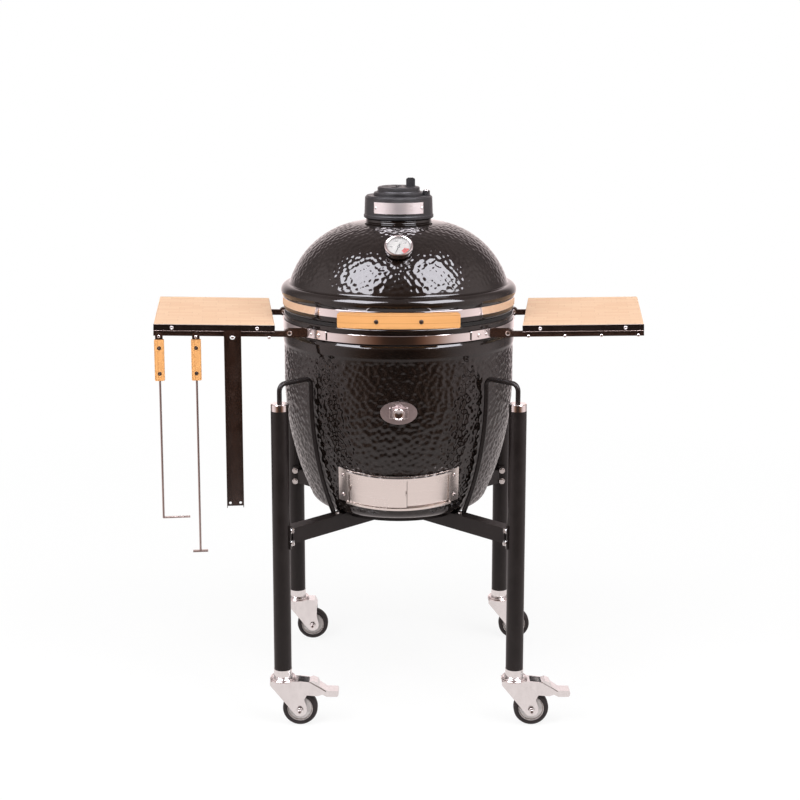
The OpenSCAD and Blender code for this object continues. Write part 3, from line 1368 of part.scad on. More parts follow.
base_bowl();
base_band();
base_gasket();
firebox();
fire_ring();
charcoal_grate();
cooking_grid();
cross_frame();
cart_posts();
post_caps();
caster_sockets();
cradle_rods();
frame_bolts();
draft_frame();
shell_screws();
port_plate();
shelf_brackets();
pivot_bolts();
hinge_base();
hinge_pin();
hinge_springs();
lid_dome();
lid_band();
lid_gasket();
handle_bar();
handle_brackets();
handle_screws();
hinge_lid();
thermo_case();
thermo_dial();
thermo_lens();
vent_collar();
vent_plate();
vent_pivot_screw();
vent_cap();
vent_wheel();
thermo_needle();
draft_panel_left();
draft_panel_right();
port_plug();
left_shelf_board();
left_shelf_frame();
right_shelf_board();
right_shelf_frame();
poker();
poker_grip();
pusher();
pusher_grip();
chip_trough();
front_left_fork();
front_right_fork();
rear_left_fork();
rear_right_fork();
front_left_wheel();
front_right_wheel();
rear_left_wheel();
rear_right_wheel();
front_left_pedal();
front_right_pedal();
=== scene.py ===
import math

import bmesh
import bpy
import numpy as np
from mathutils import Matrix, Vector


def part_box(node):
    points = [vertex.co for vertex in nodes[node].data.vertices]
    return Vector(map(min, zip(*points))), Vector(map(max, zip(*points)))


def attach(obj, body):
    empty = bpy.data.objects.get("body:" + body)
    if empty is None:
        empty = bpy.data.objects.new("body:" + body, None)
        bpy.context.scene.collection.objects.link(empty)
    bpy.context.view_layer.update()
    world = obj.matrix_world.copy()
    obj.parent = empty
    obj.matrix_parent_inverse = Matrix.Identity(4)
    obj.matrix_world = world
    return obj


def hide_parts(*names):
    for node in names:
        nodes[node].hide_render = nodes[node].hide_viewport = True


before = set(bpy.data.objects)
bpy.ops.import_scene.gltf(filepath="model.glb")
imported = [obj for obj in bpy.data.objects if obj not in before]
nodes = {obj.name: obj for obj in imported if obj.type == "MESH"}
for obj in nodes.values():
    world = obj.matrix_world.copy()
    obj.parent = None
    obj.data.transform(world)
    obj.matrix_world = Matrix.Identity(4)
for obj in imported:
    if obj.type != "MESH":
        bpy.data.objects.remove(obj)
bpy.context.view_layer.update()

scene = bpy.context.scene
mm = 0.001


# the room: the photograph's camera in pixels and metres, the floor, what mirrored rays see (the
# room's colour by the direction's y, the height at which the ceiling starts, where the floor
# fades into the room), and two soft boxes
studio = {
    "imageSide": 800, "focalPixels": 1531.32, "principalPoint": (397.8, 320.0), "sensor": 36.0,
    "eye": (-0.0020, -3.5934, 1.5224), "lookDown": 9.849, "farthest": 200.0,
    "floorSide": 60.0, "floorColour": (0.94, 0.94, 0.94, 1),
    "floorGlow": (0.86, 1.0), "floorGlowFrom": (0.7, 2.8),
    "floorShade": (0.84, 0.755, 0.745), "floorMiddle": (0, 0.8, 0), "floorFades": (1.5, 3.2),
    "worldFill": 0.70,
    "roomLight": (
        (-1.00, (0.030, 0.017, 0.012)), (-0.97, (0.045, 0.024, 0.016)),
        (-0.92, (0.125, 0.062, 0.040)), (-0.80, (0.30, 0.19, 0.145)), (-0.70, (0.50, 0.385, 0.345)),
        (-0.58, (0.72, 0.60, 0.585)), (-0.46, (0.84, 0.715, 0.71)), (-0.15, (1.03, 0.88, 0.87)),
        (0.12, (0.90, 0.77, 0.77)), (0.30, (0.68, 0.58, 0.575)), (0.46, (0.41, 0.35, 0.345)),
        (0.60, (0.27, 0.23, 0.23)), (0.76, (0.30, 0.25, 0.25)), (0.88, (0.90, 0.77, 0.77)),
        (1.00, (1.41, 1.21, 1.20))),
    "ceilingShade": (0.40, 0.335, 0.335), "ceilingFrom": (0.45, 0.85),
    "boxTarget": (0, -0.22, 1.04), "boxAzimuth": 52.0, "boxElevation": 47.0, "boxDistance": 3.0,
    "boxSize": (1.95, 2.05), "boxRadiance": 12.5, "boxTint": (0.94, 0.93, 1.0), "keyWatts": 92.0,
}


# an object for a mesh, a lamp, a camera or a text, linked to the scene
def addObject(name, data):
    thing = bpy.data.objects.new(name, data)
    scene.collection.objects.link(thing)
    return thing


# the node tree of a world or a material, cleared
def emptyTree(holder):
    holder.use_nodes = True
    holder.node_tree.nodes.clear()
    return holder.node_tree


# a shader node of a kind, with its settings and the fixed values of its inputs
def addNode(tree, kind, inputs=None, **settings):
    node = tree.nodes.new("ShaderNode" + kind)
    for key, value in settings.items():
        setattr(node, key, value)
    for key, value in (inputs or {}).items():
        node.inputs[key].default_value = value
    return node


# links: each row is a node, its output, the next node and its input, or starts with a socket
def wire(tree, *rows):
    for *source, node, key in rows:
        out = source[0] if len(source) == 1 else source[0].outputs[source[1]]
        tree.links.new(out, node.inputs[key])


# first where the mask is 0, second where it is 1; each of them is a colour or a socket
def mixColours(tree, mask, first, second):
    mix = addNode(tree, "Mix", data_type="RGBA")
    wire(tree, (mask, mix, 0))
    for key, colour in ((6, first), (7, second)):  # the sockets of a colour mix
        if isinstance(colour, tuple):
            mix.inputs[key].default_value = (*colour, 1)
        else:
            wire(tree, (colour, mix, key))
    return mix.outputs[2]


# one surface where the mask is 0, the other where it is 1
def mixSurfaces(tree, mask, first, second):
    mix = addNode(tree, "MixShader")
    wire(tree, (mask, mix, 0), (first, mix, 1), (second, mix, 2))
    return mix.outputs[0]


# a value's span stretched to low and high, on a straight line or with soft ends
def stretchTo(tree, value, low, high, span=(0, 1), kind="LINEAR"):
    node = addNode(tree, "MapRange", {"From Min": span[0], "From Max": span[1], "To Min": low,
                                      "To Max": high}, interpolation_type=kind)
    wire(tree, (value, node, "Value"))
    return node.outputs[0]


# the room's colour for a direction: its y picks a place between the stops
def roomShade(tree, along):
    ramp = addNode(tree, "ValToRGB")
    wire(tree, (stretchTo(tree, along, 0, 1, (-1, 1)), ramp, 0))
    stops = [((at + 1) / 2, (*shade, 1)) for at, shade in studio["roomLight"]]
    marks = ramp.color_ramp.elements
    for end, (at, shade) in zip((marks[0], marks[1]), (stops[0], stops[-1])):
        end.position, end.color = at, shade
    for at, shade in stops[1:-1]:
        marks.new(at).color = shade
    return ramp.outputs["Color"]


# white for the camera, an even grey for diffuse light, and for mirrored rays the room's shade,
# which turns to that of the ceiling with the direction's height
def buildWorld():
    world = bpy.data.worlds.new("studioWorld")
    scene.world = world
    tree = emptyTree(world)
    out, light = addNode(tree, "OutputWorld"), addNode(tree, "LightPath")
    coords, split = addNode(tree, "TexCoord"), addNode(tree, "SeparateXYZ")
    fill = addNode(tree, "Background", {"Strength": studio["worldFill"]})
    shine = addNode(tree, "Background", {"Strength": 1.0})
    white = addNode(tree, "Background", {"Color": (1, 1, 1, 1), "Strength": 1.0})
    mirrored = addNode(tree, "Math", operation="MAXIMUM")
    wire(tree, (coords, "Generated", split, 0), (light, "Is Glossy Ray", mirrored, 0),
         (light, "Is Transmission Ray", mirrored, 1))
    rise = stretchTo(tree, split.outputs["Z"], 0, 1, studio["ceilingFrom"], "SMOOTHSTEP")
    room = mixColours(tree, rise, roomShade(tree, split.outputs["Y"]), studio["ceilingShade"])
    lit = mixSurfaces(tree, mirrored.outputs[0], fill.outputs[0], shine.outputs[0])
    seen = mixSurfaces(tree, light.outputs["Is Camera Ray"], lit, white.outputs[0])
    wire(tree, (room, shine, "Color"), (seen, out, "Surface"))


# a large pale square; the camera sees it part lit, part glowing, so that it fades into the white
# room and keeps the shadow, and a mirrored ray sees a warm grey that fades with distance into the
# room's shade for that direction
def buildFloor():
    half = studio["floorSide"] / 2
    mesh = bpy.data.meshes.new("studioFloor")
    mesh.from_pydata([(-half, -half, 0), (half, -half, 0), (half, half, 0), (-half, half, 0)], [],
                     [(0, 1, 2, 3)])
    floor = addObject("studioFloor", mesh)
    material = bpy.data.materials.new("paleFloor")
    tree = emptyTree(material)
    out, light = addNode(tree, "OutputMaterial"), addNode(tree, "LightPath")
    coords, split = addNode(tree, "TexCoord"), addNode(tree, "SeparateXYZ")
    body = addNode(tree, "BsdfDiffuse", {"Color": studio["floorColour"]})
    glow = addNode(tree, "Emission", {"Color": (1, 1, 1, 1), "Strength": 1.0})
    sheen = addNode(tree, "Emission", {"Strength": 1.0})
    fromAxis = addNode(tree, "VectorMath", operation="LENGTH")
    aim = addNode(tree, "VectorMath", operation="NORMALIZE")
    away = addNode(tree, "VectorMath", {1: studio["floorMiddle"]}, operation="DISTANCE")
    share = addNode(tree, "Math", operation="MULTIPLY")
    wire(tree, *((coords, "Object", node, 0) for node in (fromAxis, aim, away)), (aim, 0, split, 0))
    fade = stretchTo(tree, fromAxis.outputs["Value"], *studio["floorGlow"], studio["floorGlowFrom"])
    wire(tree, (light, "Is Camera Ray", share, 0), (fade, share, 1))
    reach = stretchTo(tree, away.outputs["Value"], 0, 1, studio["floorFades"], "SMOOTHSTEP")
    tone = mixColours(tree, reach, studio["floorShade"], roomShade(tree, split.outputs["Y"]))
    seen = mixSurfaces(tree, share.outputs[0], body.outputs[0], glow.outputs[0])
    dressed = mixSurfaces(tree, light.outputs["Is Glossy Ray"], seen, sheen.outputs[0])
    wire(tree, (tone, sheen, "Color"), (dressed, out, "Surface"))
    mesh.materials.append(material)


# a rectangular lamp that faces the lid from one side; its watts are radiance times pi times area
def addSoftbox(name, side, radiance, shineOnly):
    azimuth = math.radians(studio["boxAzimuth"]) * side
    elevation = math.radians(studio["boxElevation"])
    towards = Vector((math.sin(azimuth) * math.cos(elevation),
                      -math.cos(azimuth) * math.cos(elevation), math.sin(elevation)))
    lamp = bpy.data.lights.new(name, "AREA")
    lamp.shape = "RECTANGLE"
    lamp.size, lamp.size_y = studio["boxSize"]
    lamp.energy = radiance * math.pi * lamp.size * lamp.size_y
    lamp.color = studio["boxTint"] if shineOnly else (1, 1, 1)
    box = addObject(name, lamp)
    box.location = Vector(studio["boxTarget"]) + towards * studio["boxDistance"]
    box.rotation_euler = towards.to_track_quat("Z", "Y").to_euler()
    box.visible_diffuse = not shineOnly
    box.visible_glossy = shineOnly
    box.visible_camera = False


# the photograph's camera: focal length and shift come from pixels over the picture's side
def buildCamera():
    side, (middleX, middleY) = studio["imageSide"], studio["principalPoint"]
    lens = bpy.data.cameras.new("photoCamera")
    lens.sensor_width = studio["sensor"]
    lens.lens = studio["focalPixels"] * studio["sensor"] / side
    lens.shift_x = (side / 2 - middleX) / side
    lens.shift_y = (middleY - side / 2) / side
    lens.clip_end = studio["farthest"]
    camera = addObject("photoCamera", lens)
    camera.location = studio["eye"]
    camera.rotation_euler = (math.radians(90 - studio["lookDown"]), 0, 0)
    scene.camera = camera


buildWorld()
buildFloor()
boxArea = studio["boxSize"][0] * studio["boxSize"][1]
for sideName, side in (("Left", -1), ("Right", 1)):
    addSoftbox("shineBox" + sideName, side, studio["boxRadiance"], True)
    addSoftbox("keyBox" + sideName, side, studio["keyWatts"] / (math.pi * boxArea), False)
buildCamera()
scene.view_settings.view_transform = "Standard"
print("studio: room, floor, lamps and camera")


# the patterns under the finishes: clouds, brush lines, and glued strips with fibres and joints
pattern = {
    "cloud": {"Detail": 4.0, "Roughness": 0.6}, "cloudSpan": (0.32, 0.68), "smudgeScale": 14.0,
    "brush": {"Scale": 1.0, "Detail": 3.0, "Roughness": 0.7},
    "fibre": {"Scale": 1.0, "Detail": 5.0, "Roughness": 0.65}, "fibreDraw": (7, 520, 160),
    "strip": {"Color1": (0, 0, 0, 1), "Color2": (1, 1, 1, 1), "Mortar": (0.5, 0.5, 0.5, 1),
              "Scale": 1.0, "Mortar Size": 0.0004, "Mortar Smooth": 0.3, "Bias": 0.0},
    "stagger": {"offset": 0.43, "offset_frequency": 2, "squash": 1.45, "squash_frequency": 3},
}


# an empty node group with named inputs and outputs
def newGroup(name, inputs, outputs):
    group = bpy.data.node_groups.new(name, "ShaderNodeTree")
    for label, kind in inputs.items():
        group.interface.new_socket(label, in_out="INPUT", socket_type="NodeSocket" + kind)
    for label in outputs:
        group.interface.new_socket(label, in_out="OUTPUT", socket_type="NodeSocketFloat")
    return group, group.nodes.new("NodeGroupInput"), group.nodes.new("NodeGroupOutput")


# cloudy patches: noise of a given scale, spread to the full 0 to 1
def buildMottle():
    group, source, sink = newGroup("mottle", {"Vector": "Vector", "Scale": "Float"}, ["Mask"])
    noise = addNode(group, "TexNoise", pattern["cloud"])
    wire(group, (source, "Vector", noise, "Vector"), (source, "Scale", noise, "Scale"),
         (stretchTo(group, noise.outputs[0], 0, 1, pattern["cloudSpan"]), sink, "Mask"))
    return group


# brush lines: noise drawn out along the directions whose stretch is small
def buildBrush():
    group, source, sink = newGroup("brushLines", {"Vector": "Vector", "Stretch": "Vector"},
                                   ["Lines"])
    scale = addNode(group, "VectorMath", operation="MULTIPLY")
    noise = addNode(group, "TexNoise", pattern["brush"])
    wire(group, (source, "Vector", scale, 0), (source, "Stretch", scale, 1),
         (scale, 0, noise, "Vector"), (noise, 0, sink, "Lines"))
    return group


# glued strips: a brick pattern gives each strip its own shade, long noise gives fibres, and the
# joints are dark lines
def buildStrips():
    group, source, sink = newGroup(
        "gluedStrips", {"Vector": "Vector", "Length": "Float", "Width": "Float"},
        ["Shade", "Fibre", "Joints"])
    brick = addNode(group, "TexBrick", pattern["strip"], **pattern["stagger"])
    draw = addNode(group, "VectorMath", {1: pattern["fibreDraw"]}, operation="MULTIPLY")
    fibre = addNode(group, "TexNoise", pattern["fibre"])
    grey = addNode(group, "SeparateColor")
    wire(group, (source, "Vector", brick, "Vector"), (source, "Length", brick, "Brick Width"),
         (source, "Width", brick, "Row Height"), (source, "Vector", draw, 0),
         (draw, 0, fibre, "Vector"), (brick, "Color", grey, 0),
         (grey, 0, sink, "Shade"), (fibre, 0, sink, "Fibre"), (brick, "Fac", sink, "Joints"))
    return group


mottle, brushLines, gluedStrips = buildMottle(), buildBrush(), buildStrips()


# a material with a Principled surface; fixed numbers go straight onto its sockets
def startFinish(name, fixed):
    material = bpy.data.materials.new(name)
    material.use_nodes = True
    tree = material.node_tree
    surface = tree.nodes["Principled BSDF"]
    for key, value in fixed.items():
        surface.inputs[key].default_value = value
    return material, tree, surface


# a node that holds a group, with its fixed inputs, laid on a set of coordinates
def placeGroup(tree, group, layout, inputs):
    node = addNode(tree, "Group", inputs, node_tree=group)
    wire(tree, (addNode(tree, "TexCoord"), layout, node, "Vector"))
    return node


# the surface's normal leans with the slope of a height
def raiseBump(tree, surface, height, strength, distance):
    bump = addNode(tree, "Bump", {"Strength": strength, "Distance": distance})
    wire(tree, (height, bump, "Height"), (bump, 0, surface, "Normal"))


# painted, glazed, cast or clay: two colours in patches, a roughness range and a fine bump
def patchyFinish(name, first, second, rough, patch, grain, bump, fixed=None):
    material, tree, surface = startFinish(name, fixed or {})
    patches = placeGroup(tree, mottle, "Object", {"Scale": patch}).outputs["Mask"]
    fine = placeGroup(tree, mottle, "Object", {"Scale": grain}).outputs["Mask"]
    wire(tree, (mixColours(tree, patches, first, second), surface, "Base Color"),
         (stretchTo(tree, patches, *rough), surface, "Roughness"))
    raiseBump(tree, surface, fine, *bump)
    return material


# bare metal: brush lines move the shade, the roughness and the bump, smudges the roughness
def brushedFinish(name, first, second, rough, stretch, bump):
    material, tree, surface = startFinish(name, {"Metallic": 1.0})
    lines = placeGroup(tree, brushLines, "Object", {"Stretch": stretch}).outputs["Lines"]
    smudge = placeGroup(tree, mottle, "Object", {"Scale": pattern["smudgeScale"]})
    both = addNode(tree, "Math", operation="ADD")
    mean = addNode(tree, "Math", {1: 0.5}, operation="MULTIPLY")
    wire(tree, (lines, both, 0), (smudge, "Mask", both, 1), (both, 0, mean, 0),
         (mixColours(tree, lines, first, second), surface, "Base Color"),
         (stretchTo(tree, mean.outputs[0], *rough), surface, "Roughness"))
    raiseBump(tree, surface, lines, *bump)
    return material


wood = {"specular": 0.16, "stripShare": 0.45, "fibreSpan": (-0.1, 0.9), "rough": (0.48, 0.62),
        "bump": (0.08, 0.0004)}


# bamboo: strips on the piece's own UV map, in metres along and across the fibres
def bambooFinish(name, pale, dark, length, width, joint):
    material, tree, surface = startFinish(name, {"Specular IOR Level": wood["specular"]})
    strips = placeGroup(tree, gluedStrips, "UV", {"Length": length, "Width": width})
    fibre = strips.outputs["Fibre"]
    blend = addNode(tree, "Math", {1: wood["stripShare"]}, operation="MULTIPLY_ADD")
    wire(tree, (strips, "Shade", blend, 0), (stretchTo(tree, fibre, *wood["fibreSpan"]), blend, 2))
    toned = mixColours(tree, blend.outputs[0], pale, dark)
    wire(tree, (mixColours(tree, strips.outputs["Joints"], toned, joint), surface, "Base Color"),
         (stretchTo(tree, fibre, *wood["rough"]), surface, "Roughness"))
    raiseBump(tree, surface, fibre, *wood["bump"])
    return material


glass = {"fixed": {"Roughness": 0.03, "IOR": 1.5, "Base Color": (0.95, 0.96, 0.96, 1)},
         "smearScale": 45.0, "alpha": (0.03, 0.07)}


# thin clear glass: mostly see-through, with the gloss of its surface
def glassFinish(name):
    material, tree, surface = startFinish(name, glass["fixed"])
    smear = placeGroup(tree, mottle, "Object", {"Scale": glass["smearScale"]}).outputs["Mask"]
    wire(tree, (stretchTo(tree, smear, *glass["alpha"]), surface, "Alpha"))
    return material


# two colours, roughness from and to, patch scale, grain scale, bump strength and depth, sockets
patchy = {
    "blackGlaze": ((0.0060, 0.0039, 0.0032), (0.0098, 0.0067, 0.0057), (0.045, 0.09), 26, 240,
                   (0.02, 0.0006), {"IOR": 1.55}),
    "fireClay": ((0.50, 0.39, 0.28), (0.36, 0.28, 0.21), (0.85, 0.95), 18, 420, (0.5, 0.0008)),
    "sootedLining": ((0.13, 0.10, 0.08), (0.045, 0.036, 0.03), (0.7, 0.9), 9, 300, (0.35, 0.0008)),
    "pressedFelt": ((0.010, 0.0085, 0.008), (0.020, 0.017, 0.016), (0.9, 1.0), 160, 900,
                    (0.6, 0.0008)),
    "blackPowderCoat": ((0.0075, 0.0050, 0.0047), (0.0120, 0.0085, 0.0080), (0.30, 0.42), 22, 900,
                        (0.10, 0.0004), {"Specular IOR Level": 0.33}),
    "brownPowderCoat": ((0.0260, 0.0105, 0.0062), (0.0360, 0.0155, 0.0095), (0.17, 0.27), 24, 1100,
                        (0.08, 0.0004), {"IOR": 1.9}),
    "trimPowderCoat": ((0.0085, 0.0050, 0.0042), (0.0140, 0.0085, 0.0072), (0.14, 0.24), 24, 1100,
                       (0.08, 0.0004)),
    "castBlackIron": ((0.018, 0.017, 0.0195), (0.030, 0.029, 0.032), (0.34, 0.48), 40, 700,
                      (0.25, 0.0006)),
    "casterRubber": ((0.0150, 0.0110, 0.0112), (0.0270, 0.0200, 0.0205), (0.5, 0.68), 30, 600,
                     (0.15, 0.0005), {"Specular IOR Level": 0.35}),
    "hubGrey": ((0.60, 0.555, 0.545), (0.48, 0.44, 0.43), (0.35, 0.5), 60, 500, (0.1, 0.0004)),
    "hubRing": ((0.20, 0.15, 0.135), (0.30, 0.23, 0.21), (0.35, 0.5), 60, 500, (0.1, 0.0004)),
    "dialEnamel": ((0.66, 0.63, 0.63), (0.74, 0.71, 0.71), (0.3, 0.4), 60, 500, (0.02, 0.0002)),
    "dialInk": ((0.03, 0.03, 0.035), (0.06, 0.055, 0.06), (0.4, 0.5), 80, 600, (0.03, 0.0002)),
    "dialRed": ((0.58, 0.016, 0.012), (0.66, 0.035, 0.028), (0.35, 0.45), 80, 600, (0.03, 0.0002)),
}
# two colours, roughness from and to, brush lines per metre along x, y and z, bump strength, depth
brushed = {
    "polishedBand": ((0.90, 0.85, 0.84), (0.77, 0.72, 0.71), (0.04, 0.11), (2, 2, 900),
                     (0.03, 0.0002)),
    "brushedSheet": ((0.93, 0.865, 0.82), (0.79, 0.73, 0.69), (0.20, 0.32), (4, 4, 1100),
                     (0.08, 0.0003)),
    "satinSteel": ((0.93, 0.89, 0.89), (0.76, 0.73, 0.73), (0.40, 0.52), (5, 5, 1400),
                   (0.10, 0.0003)),
    "portSteel": ((0.66, 0.565, 0.56), (0.50, 0.425, 0.42), (0.36, 0.46), (5, 5, 1400),
                  (0.10, 0.0003)),
    "brightSteel": ((0.92, 0.87, 0.86), (0.74, 0.69, 0.68), (0.10, 0.22), (60, 60, 60),
                    (0.04, 0.0003)),
    "zincPlate": ((0.95, 0.95, 0.945), (0.80, 0.79, 0.785), (0.16, 0.30), (90, 90, 40),
                  (0.05, 0.0003)),
    # dark steel: the real dark screws, and also painted shade in grooves, recesses, seams and on
    # nut sides
    "darkScrew": ((0.14, 0.11, 0.095), (0.07, 0.055, 0.048), (0.3, 0.45), (200, 200, 200),
                  (0.1, 0.0003)),
    "toolRod": ((0.62, 0.51, 0.48), (0.44, 0.36, 0.335), (0.22, 0.36), (300, 300, 12),
                (0.08, 0.0003)),
}
# pale and dark colour, strip length and width in metres, colour of the joints
bamboo = {
    "boardBamboo": ((0.97, 0.70, 0.485), (0.86, 0.535, 0.335), 0.055, 0.021, (0.72, 0.43, 0.25)),
    "boardEdge": ((0.97, 0.88, 0.80), (0.84, 0.72, 0.62), 2.0, 0.0045, (0.64, 0.47, 0.33)),
    "gripBamboo": ((0.87, 0.455, 0.180), (0.70, 0.310, 0.098), 2.0, 0.016, (0.54, 0.23, 0.07)),
}
finish = {"dialGlass": glassFinish("dialGlass")}
for makeFinish, table in ((patchyFinish, patchy), (brushedFinish, brushed), (bambooFinish, bamboo)):
    finish.update({name: makeFinish(name, *row) for name, row in table.items()})
print("finishes:", len(bpy.data.materials), "materials")


# quads of a lattice of rows and columns; the columns close into a ring when wrap is true
def latticeQuads(rows, cols, wrap=True):
    i = np.arange(rows - 1)[:, None]
    j = np.arange(cols if wrap else cols - 1)[None, :]
    k = (j + 1) % cols
    corners = np.broadcast_arrays(i * cols + j, i * cols + k, (i + 1) * cols + k,
                                  (i + 1) * cols + j)
    return np.stack(corners, -1).reshape(-1, 4)


# quads of a lattice whose last row joins the first, as on a tyre
def tyreQuads(rows, cols):
    return latticeQuads(rows + 1, cols) % (rows * cols)


# side quads and the two end faces of a bar
def barFaces(rows, cols):
    first = np.arange(cols)[None, :]
    return [latticeQuads(rows, cols), first[:, ::-1], (rows - 1) * cols + first]


# parts put together, with each one's faces counted on from the points before it
def joinParts(parts):
    verts, faces, count = [], [], 0
    for points, shapes in parts:
        verts.append(points)
        faces += [np.asarray(shape) + count for shape in shapes]
        count += len(points)
    return np.concatenate(verts), faces


# a mesh from points and faces, with its finishes, that rides a body; the slot's name is not used
def makePiece(name, verts, faces, body, slotName, finishes, faceSlots=None, smooth=True, uv=None,
              closed=True):
    mesh = bpy.data.meshes.new(name)
    mesh.from_pydata(np.asarray(verts, float).tolist(), [],
                     [row for part in faces for row in np.asarray(part).tolist()])
    for label in finishes:
        mesh.materials.append(finish[label])
    mesh.polygons.foreach_set("use_smooth", np.full(len(mesh.polygons), smooth))
    if faceSlots is not None:
        mesh.polygons.foreach_set("material_index", np.asarray(faceSlots, np.int32))
    if uv is not None:
        layer = mesh.uv_layers.new(name="stripMap")
        corners = np.zeros(len(mesh.loops), np.int32)
        mesh.loops.foreach_get("vertex_index", corners)
        layer.data.foreach_set("uv", np.asarray(uv, np.float32)[corners].ravel())
    if closed:  # all faces of a closed form are turned outwards
        work = bmesh.new()
        work.from_mesh(mesh)
        bmesh.ops.recalc_face_normals(work, faces=work.faces)
        work.to_mesh(mesh)
        work.free()
    mesh.update()
    piece = addObject(name, mesh)
    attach(piece, body)
    return piece


# the run along a polyline up to each of its points
def runLength(line):
    return np.concatenate([[0], np.cumsum(np.linalg.norm(np.diff(line, axis=0), axis=1))])


# evenly spaced points along a polyline, smoothed with a bell of the given width, ends kept
def evenLine(points, step, soften=0.0):
    run = runLength(points)
    at = np.linspace(0, run[-1], max(2, int(round(run[-1] / step)) + 1))
    line = np.stack([np.interp(at, run, column) for column in points.T], 1)
    if soften > 0:
        spacing = at[1] - at[0]
        reach = int(math.ceil(3 * soften / spacing))
        bell = np.exp(-0.5 * (np.arange(-reach, reach + 1) * spacing / soften) ** 2)
        bell /= bell.sum()
        padded = np.concatenate([2 * line[:1] - line[reach:0:-1], line,
                                 2 * line[-1:] - line[-2:-reach - 2:-1]])
        line = np.stack([np.convolve(column, bell, "valid") for column in padded.T], 1)
    return line


# points on an arc in the profile plane
def arcLine(cx, cz, r, a0, a1, count):
    a = np.radians(np.linspace(a0, a1, count))
    return np.stack([cx + r * np.cos(a), cz + r * np.sin(a)], 1)


# outward normals of a profile that runs with the solid on its left
def profileNormals(line):
    t = np.gradient(line, axis=0)
    n = np.stack([t[:, 1], -t[:, 0]], 1)
    return n / np.linalg.norm(n, axis=1)[:, None]


# even angles round a full turn
def ringAngles(count):
    return np.arange(count) * 2 * math.pi / count


# a pair of coordinates turned by degrees: a cos - b sin, a sin + b cos
def turnPair(a, b, degrees):
    c, s = math.cos(math.radians(degrees)), math.sin(math.radians(degrees))
    return a * c - b * s, a * s + b * c


# the coordinates of points as three arrays
def splitPoints(points):
    return np.moveaxis(np.asarray(points, float), -1, 0)


# points from three coordinates whose shapes match
def toPoints(x, y, z):
    return np.stack(np.broadcast_arrays(x, y, z), -1).reshape(-1, 3)


# 0 below low, 1 above high, and 3t^2 - 2t^3 between
def smoothStep(x, low, high):
    t = np.clip((x - low) / (high - low), 0, 1)
    return t * t * (3 - 2 * t)


# the profile turned round z: x is r cos, y is r sin, after each point has sunk along its normal
def revolve(line, cols, inset=None):
    turn = ringAngles(cols)
    rz = np.repeat(line[:, None, :], cols, 1)
    if inset is not None:
        rz = rz - inset[..., None] * profileNormals(line)[:, None, :]
    r, z = splitPoints(rz)
    return toPoints(r * np.cos(turn), r * np.sin(turn), z)


# the pits of the glaze: seed spacing, and shake, bell width and reach as shares of it
pits = {"cell": 13.0 * mm, "shake": 0.34, "width": 0.40, "reach": 1.7}


# shallow pits: seeds lie on a golden-angle spiral that gives each the same area and are shaken by
# a part of a cell, and a point's depth is a bell of its distance to the nearest seed
def pitBells(line, cols, seed):
    cell, shake = pits["cell"], pits["shake"]
    rng = np.random.default_rng(seed)
    r, run = line[:, 0], runLength(line)
    area = np.concatenate([[0], np.cumsum(np.pi * (r[1:] + r[:-1]) * np.diff(run))])
    count = int(area[-1] / cell ** 2)
    k = np.arange(count) + 0.5
    seedRun = np.interp(k / count * area[-1], area, run) + rng.uniform(-shake, shake, count) * cell
    seedR = np.interp(seedRun, run, r)
    jog = rng.uniform(-shake, shake, count) * cell / np.maximum(seedR, cell)
    seedTurn = k * math.pi * (3 - math.sqrt(5)) + jog
    turn = ringAngles(cols)
    depth = np.zeros((len(line), cols))
    for row in range(len(line)):  # one ring of the surface at a time
        near = np.abs(seedRun - run[row]) < pits["reach"] * cell
        arc = np.sin((turn[None, :] - seedTurn[near][:, None]) / 2)
        chord = 2 * np.sqrt(r[row] * seedR[near])[:, None] * arc
        gap2 = chord ** 2 + ((seedRun[near] - run[row]) ** 2)[:, None]
        depth[row] = np.exp(-gap2.min(0) / (pits["width"] * cell) ** 2)
    return depth


# how far each point of a shape's turned profile sinks: its pits, faded out at both heights
def pitInset(line, shape):
    (low, lowFade), (high, highFade) = shape["pitsFrom"], shape["pitsTo"]
    mask = smoothStep(line[:, 1], low, low + lowFade)
    mask *= 1 - smoothStep(line[:, 1], high - highFade, high)
    return pitBells(line, shape["cols"], shape["seed"]) * shape["pitDepth"] * mask[:, None]


lidShape = {
    "cols": 560, "step": 2.8 * mm, "soften": 2.0 * mm, "wall": 26 * mm, "flueR": 55 * mm,
    "rimR": 273 * mm, "rimBevel": 3 * mm, "footZ": 931.1 * mm,
    "beadR": 16.5 * mm, "beadReach": 262 * mm, "beadZ": 976 * mm, "beadSteps": 60,
    "domeR": 199 * mm, "domeCentreR": 67 * mm, "domeZ": 937 * mm, "domeSteps": 160,
    "innerSteps": 26, "neckR": 77 * mm, "neckZ": 1144.25 * mm,
    "pitsFrom": (1000 * mm, 9 * mm), "pitsTo": (1134 * mm, 5 * mm), "pitDepth": 1.3 * mm,
    "seed": 11,
}


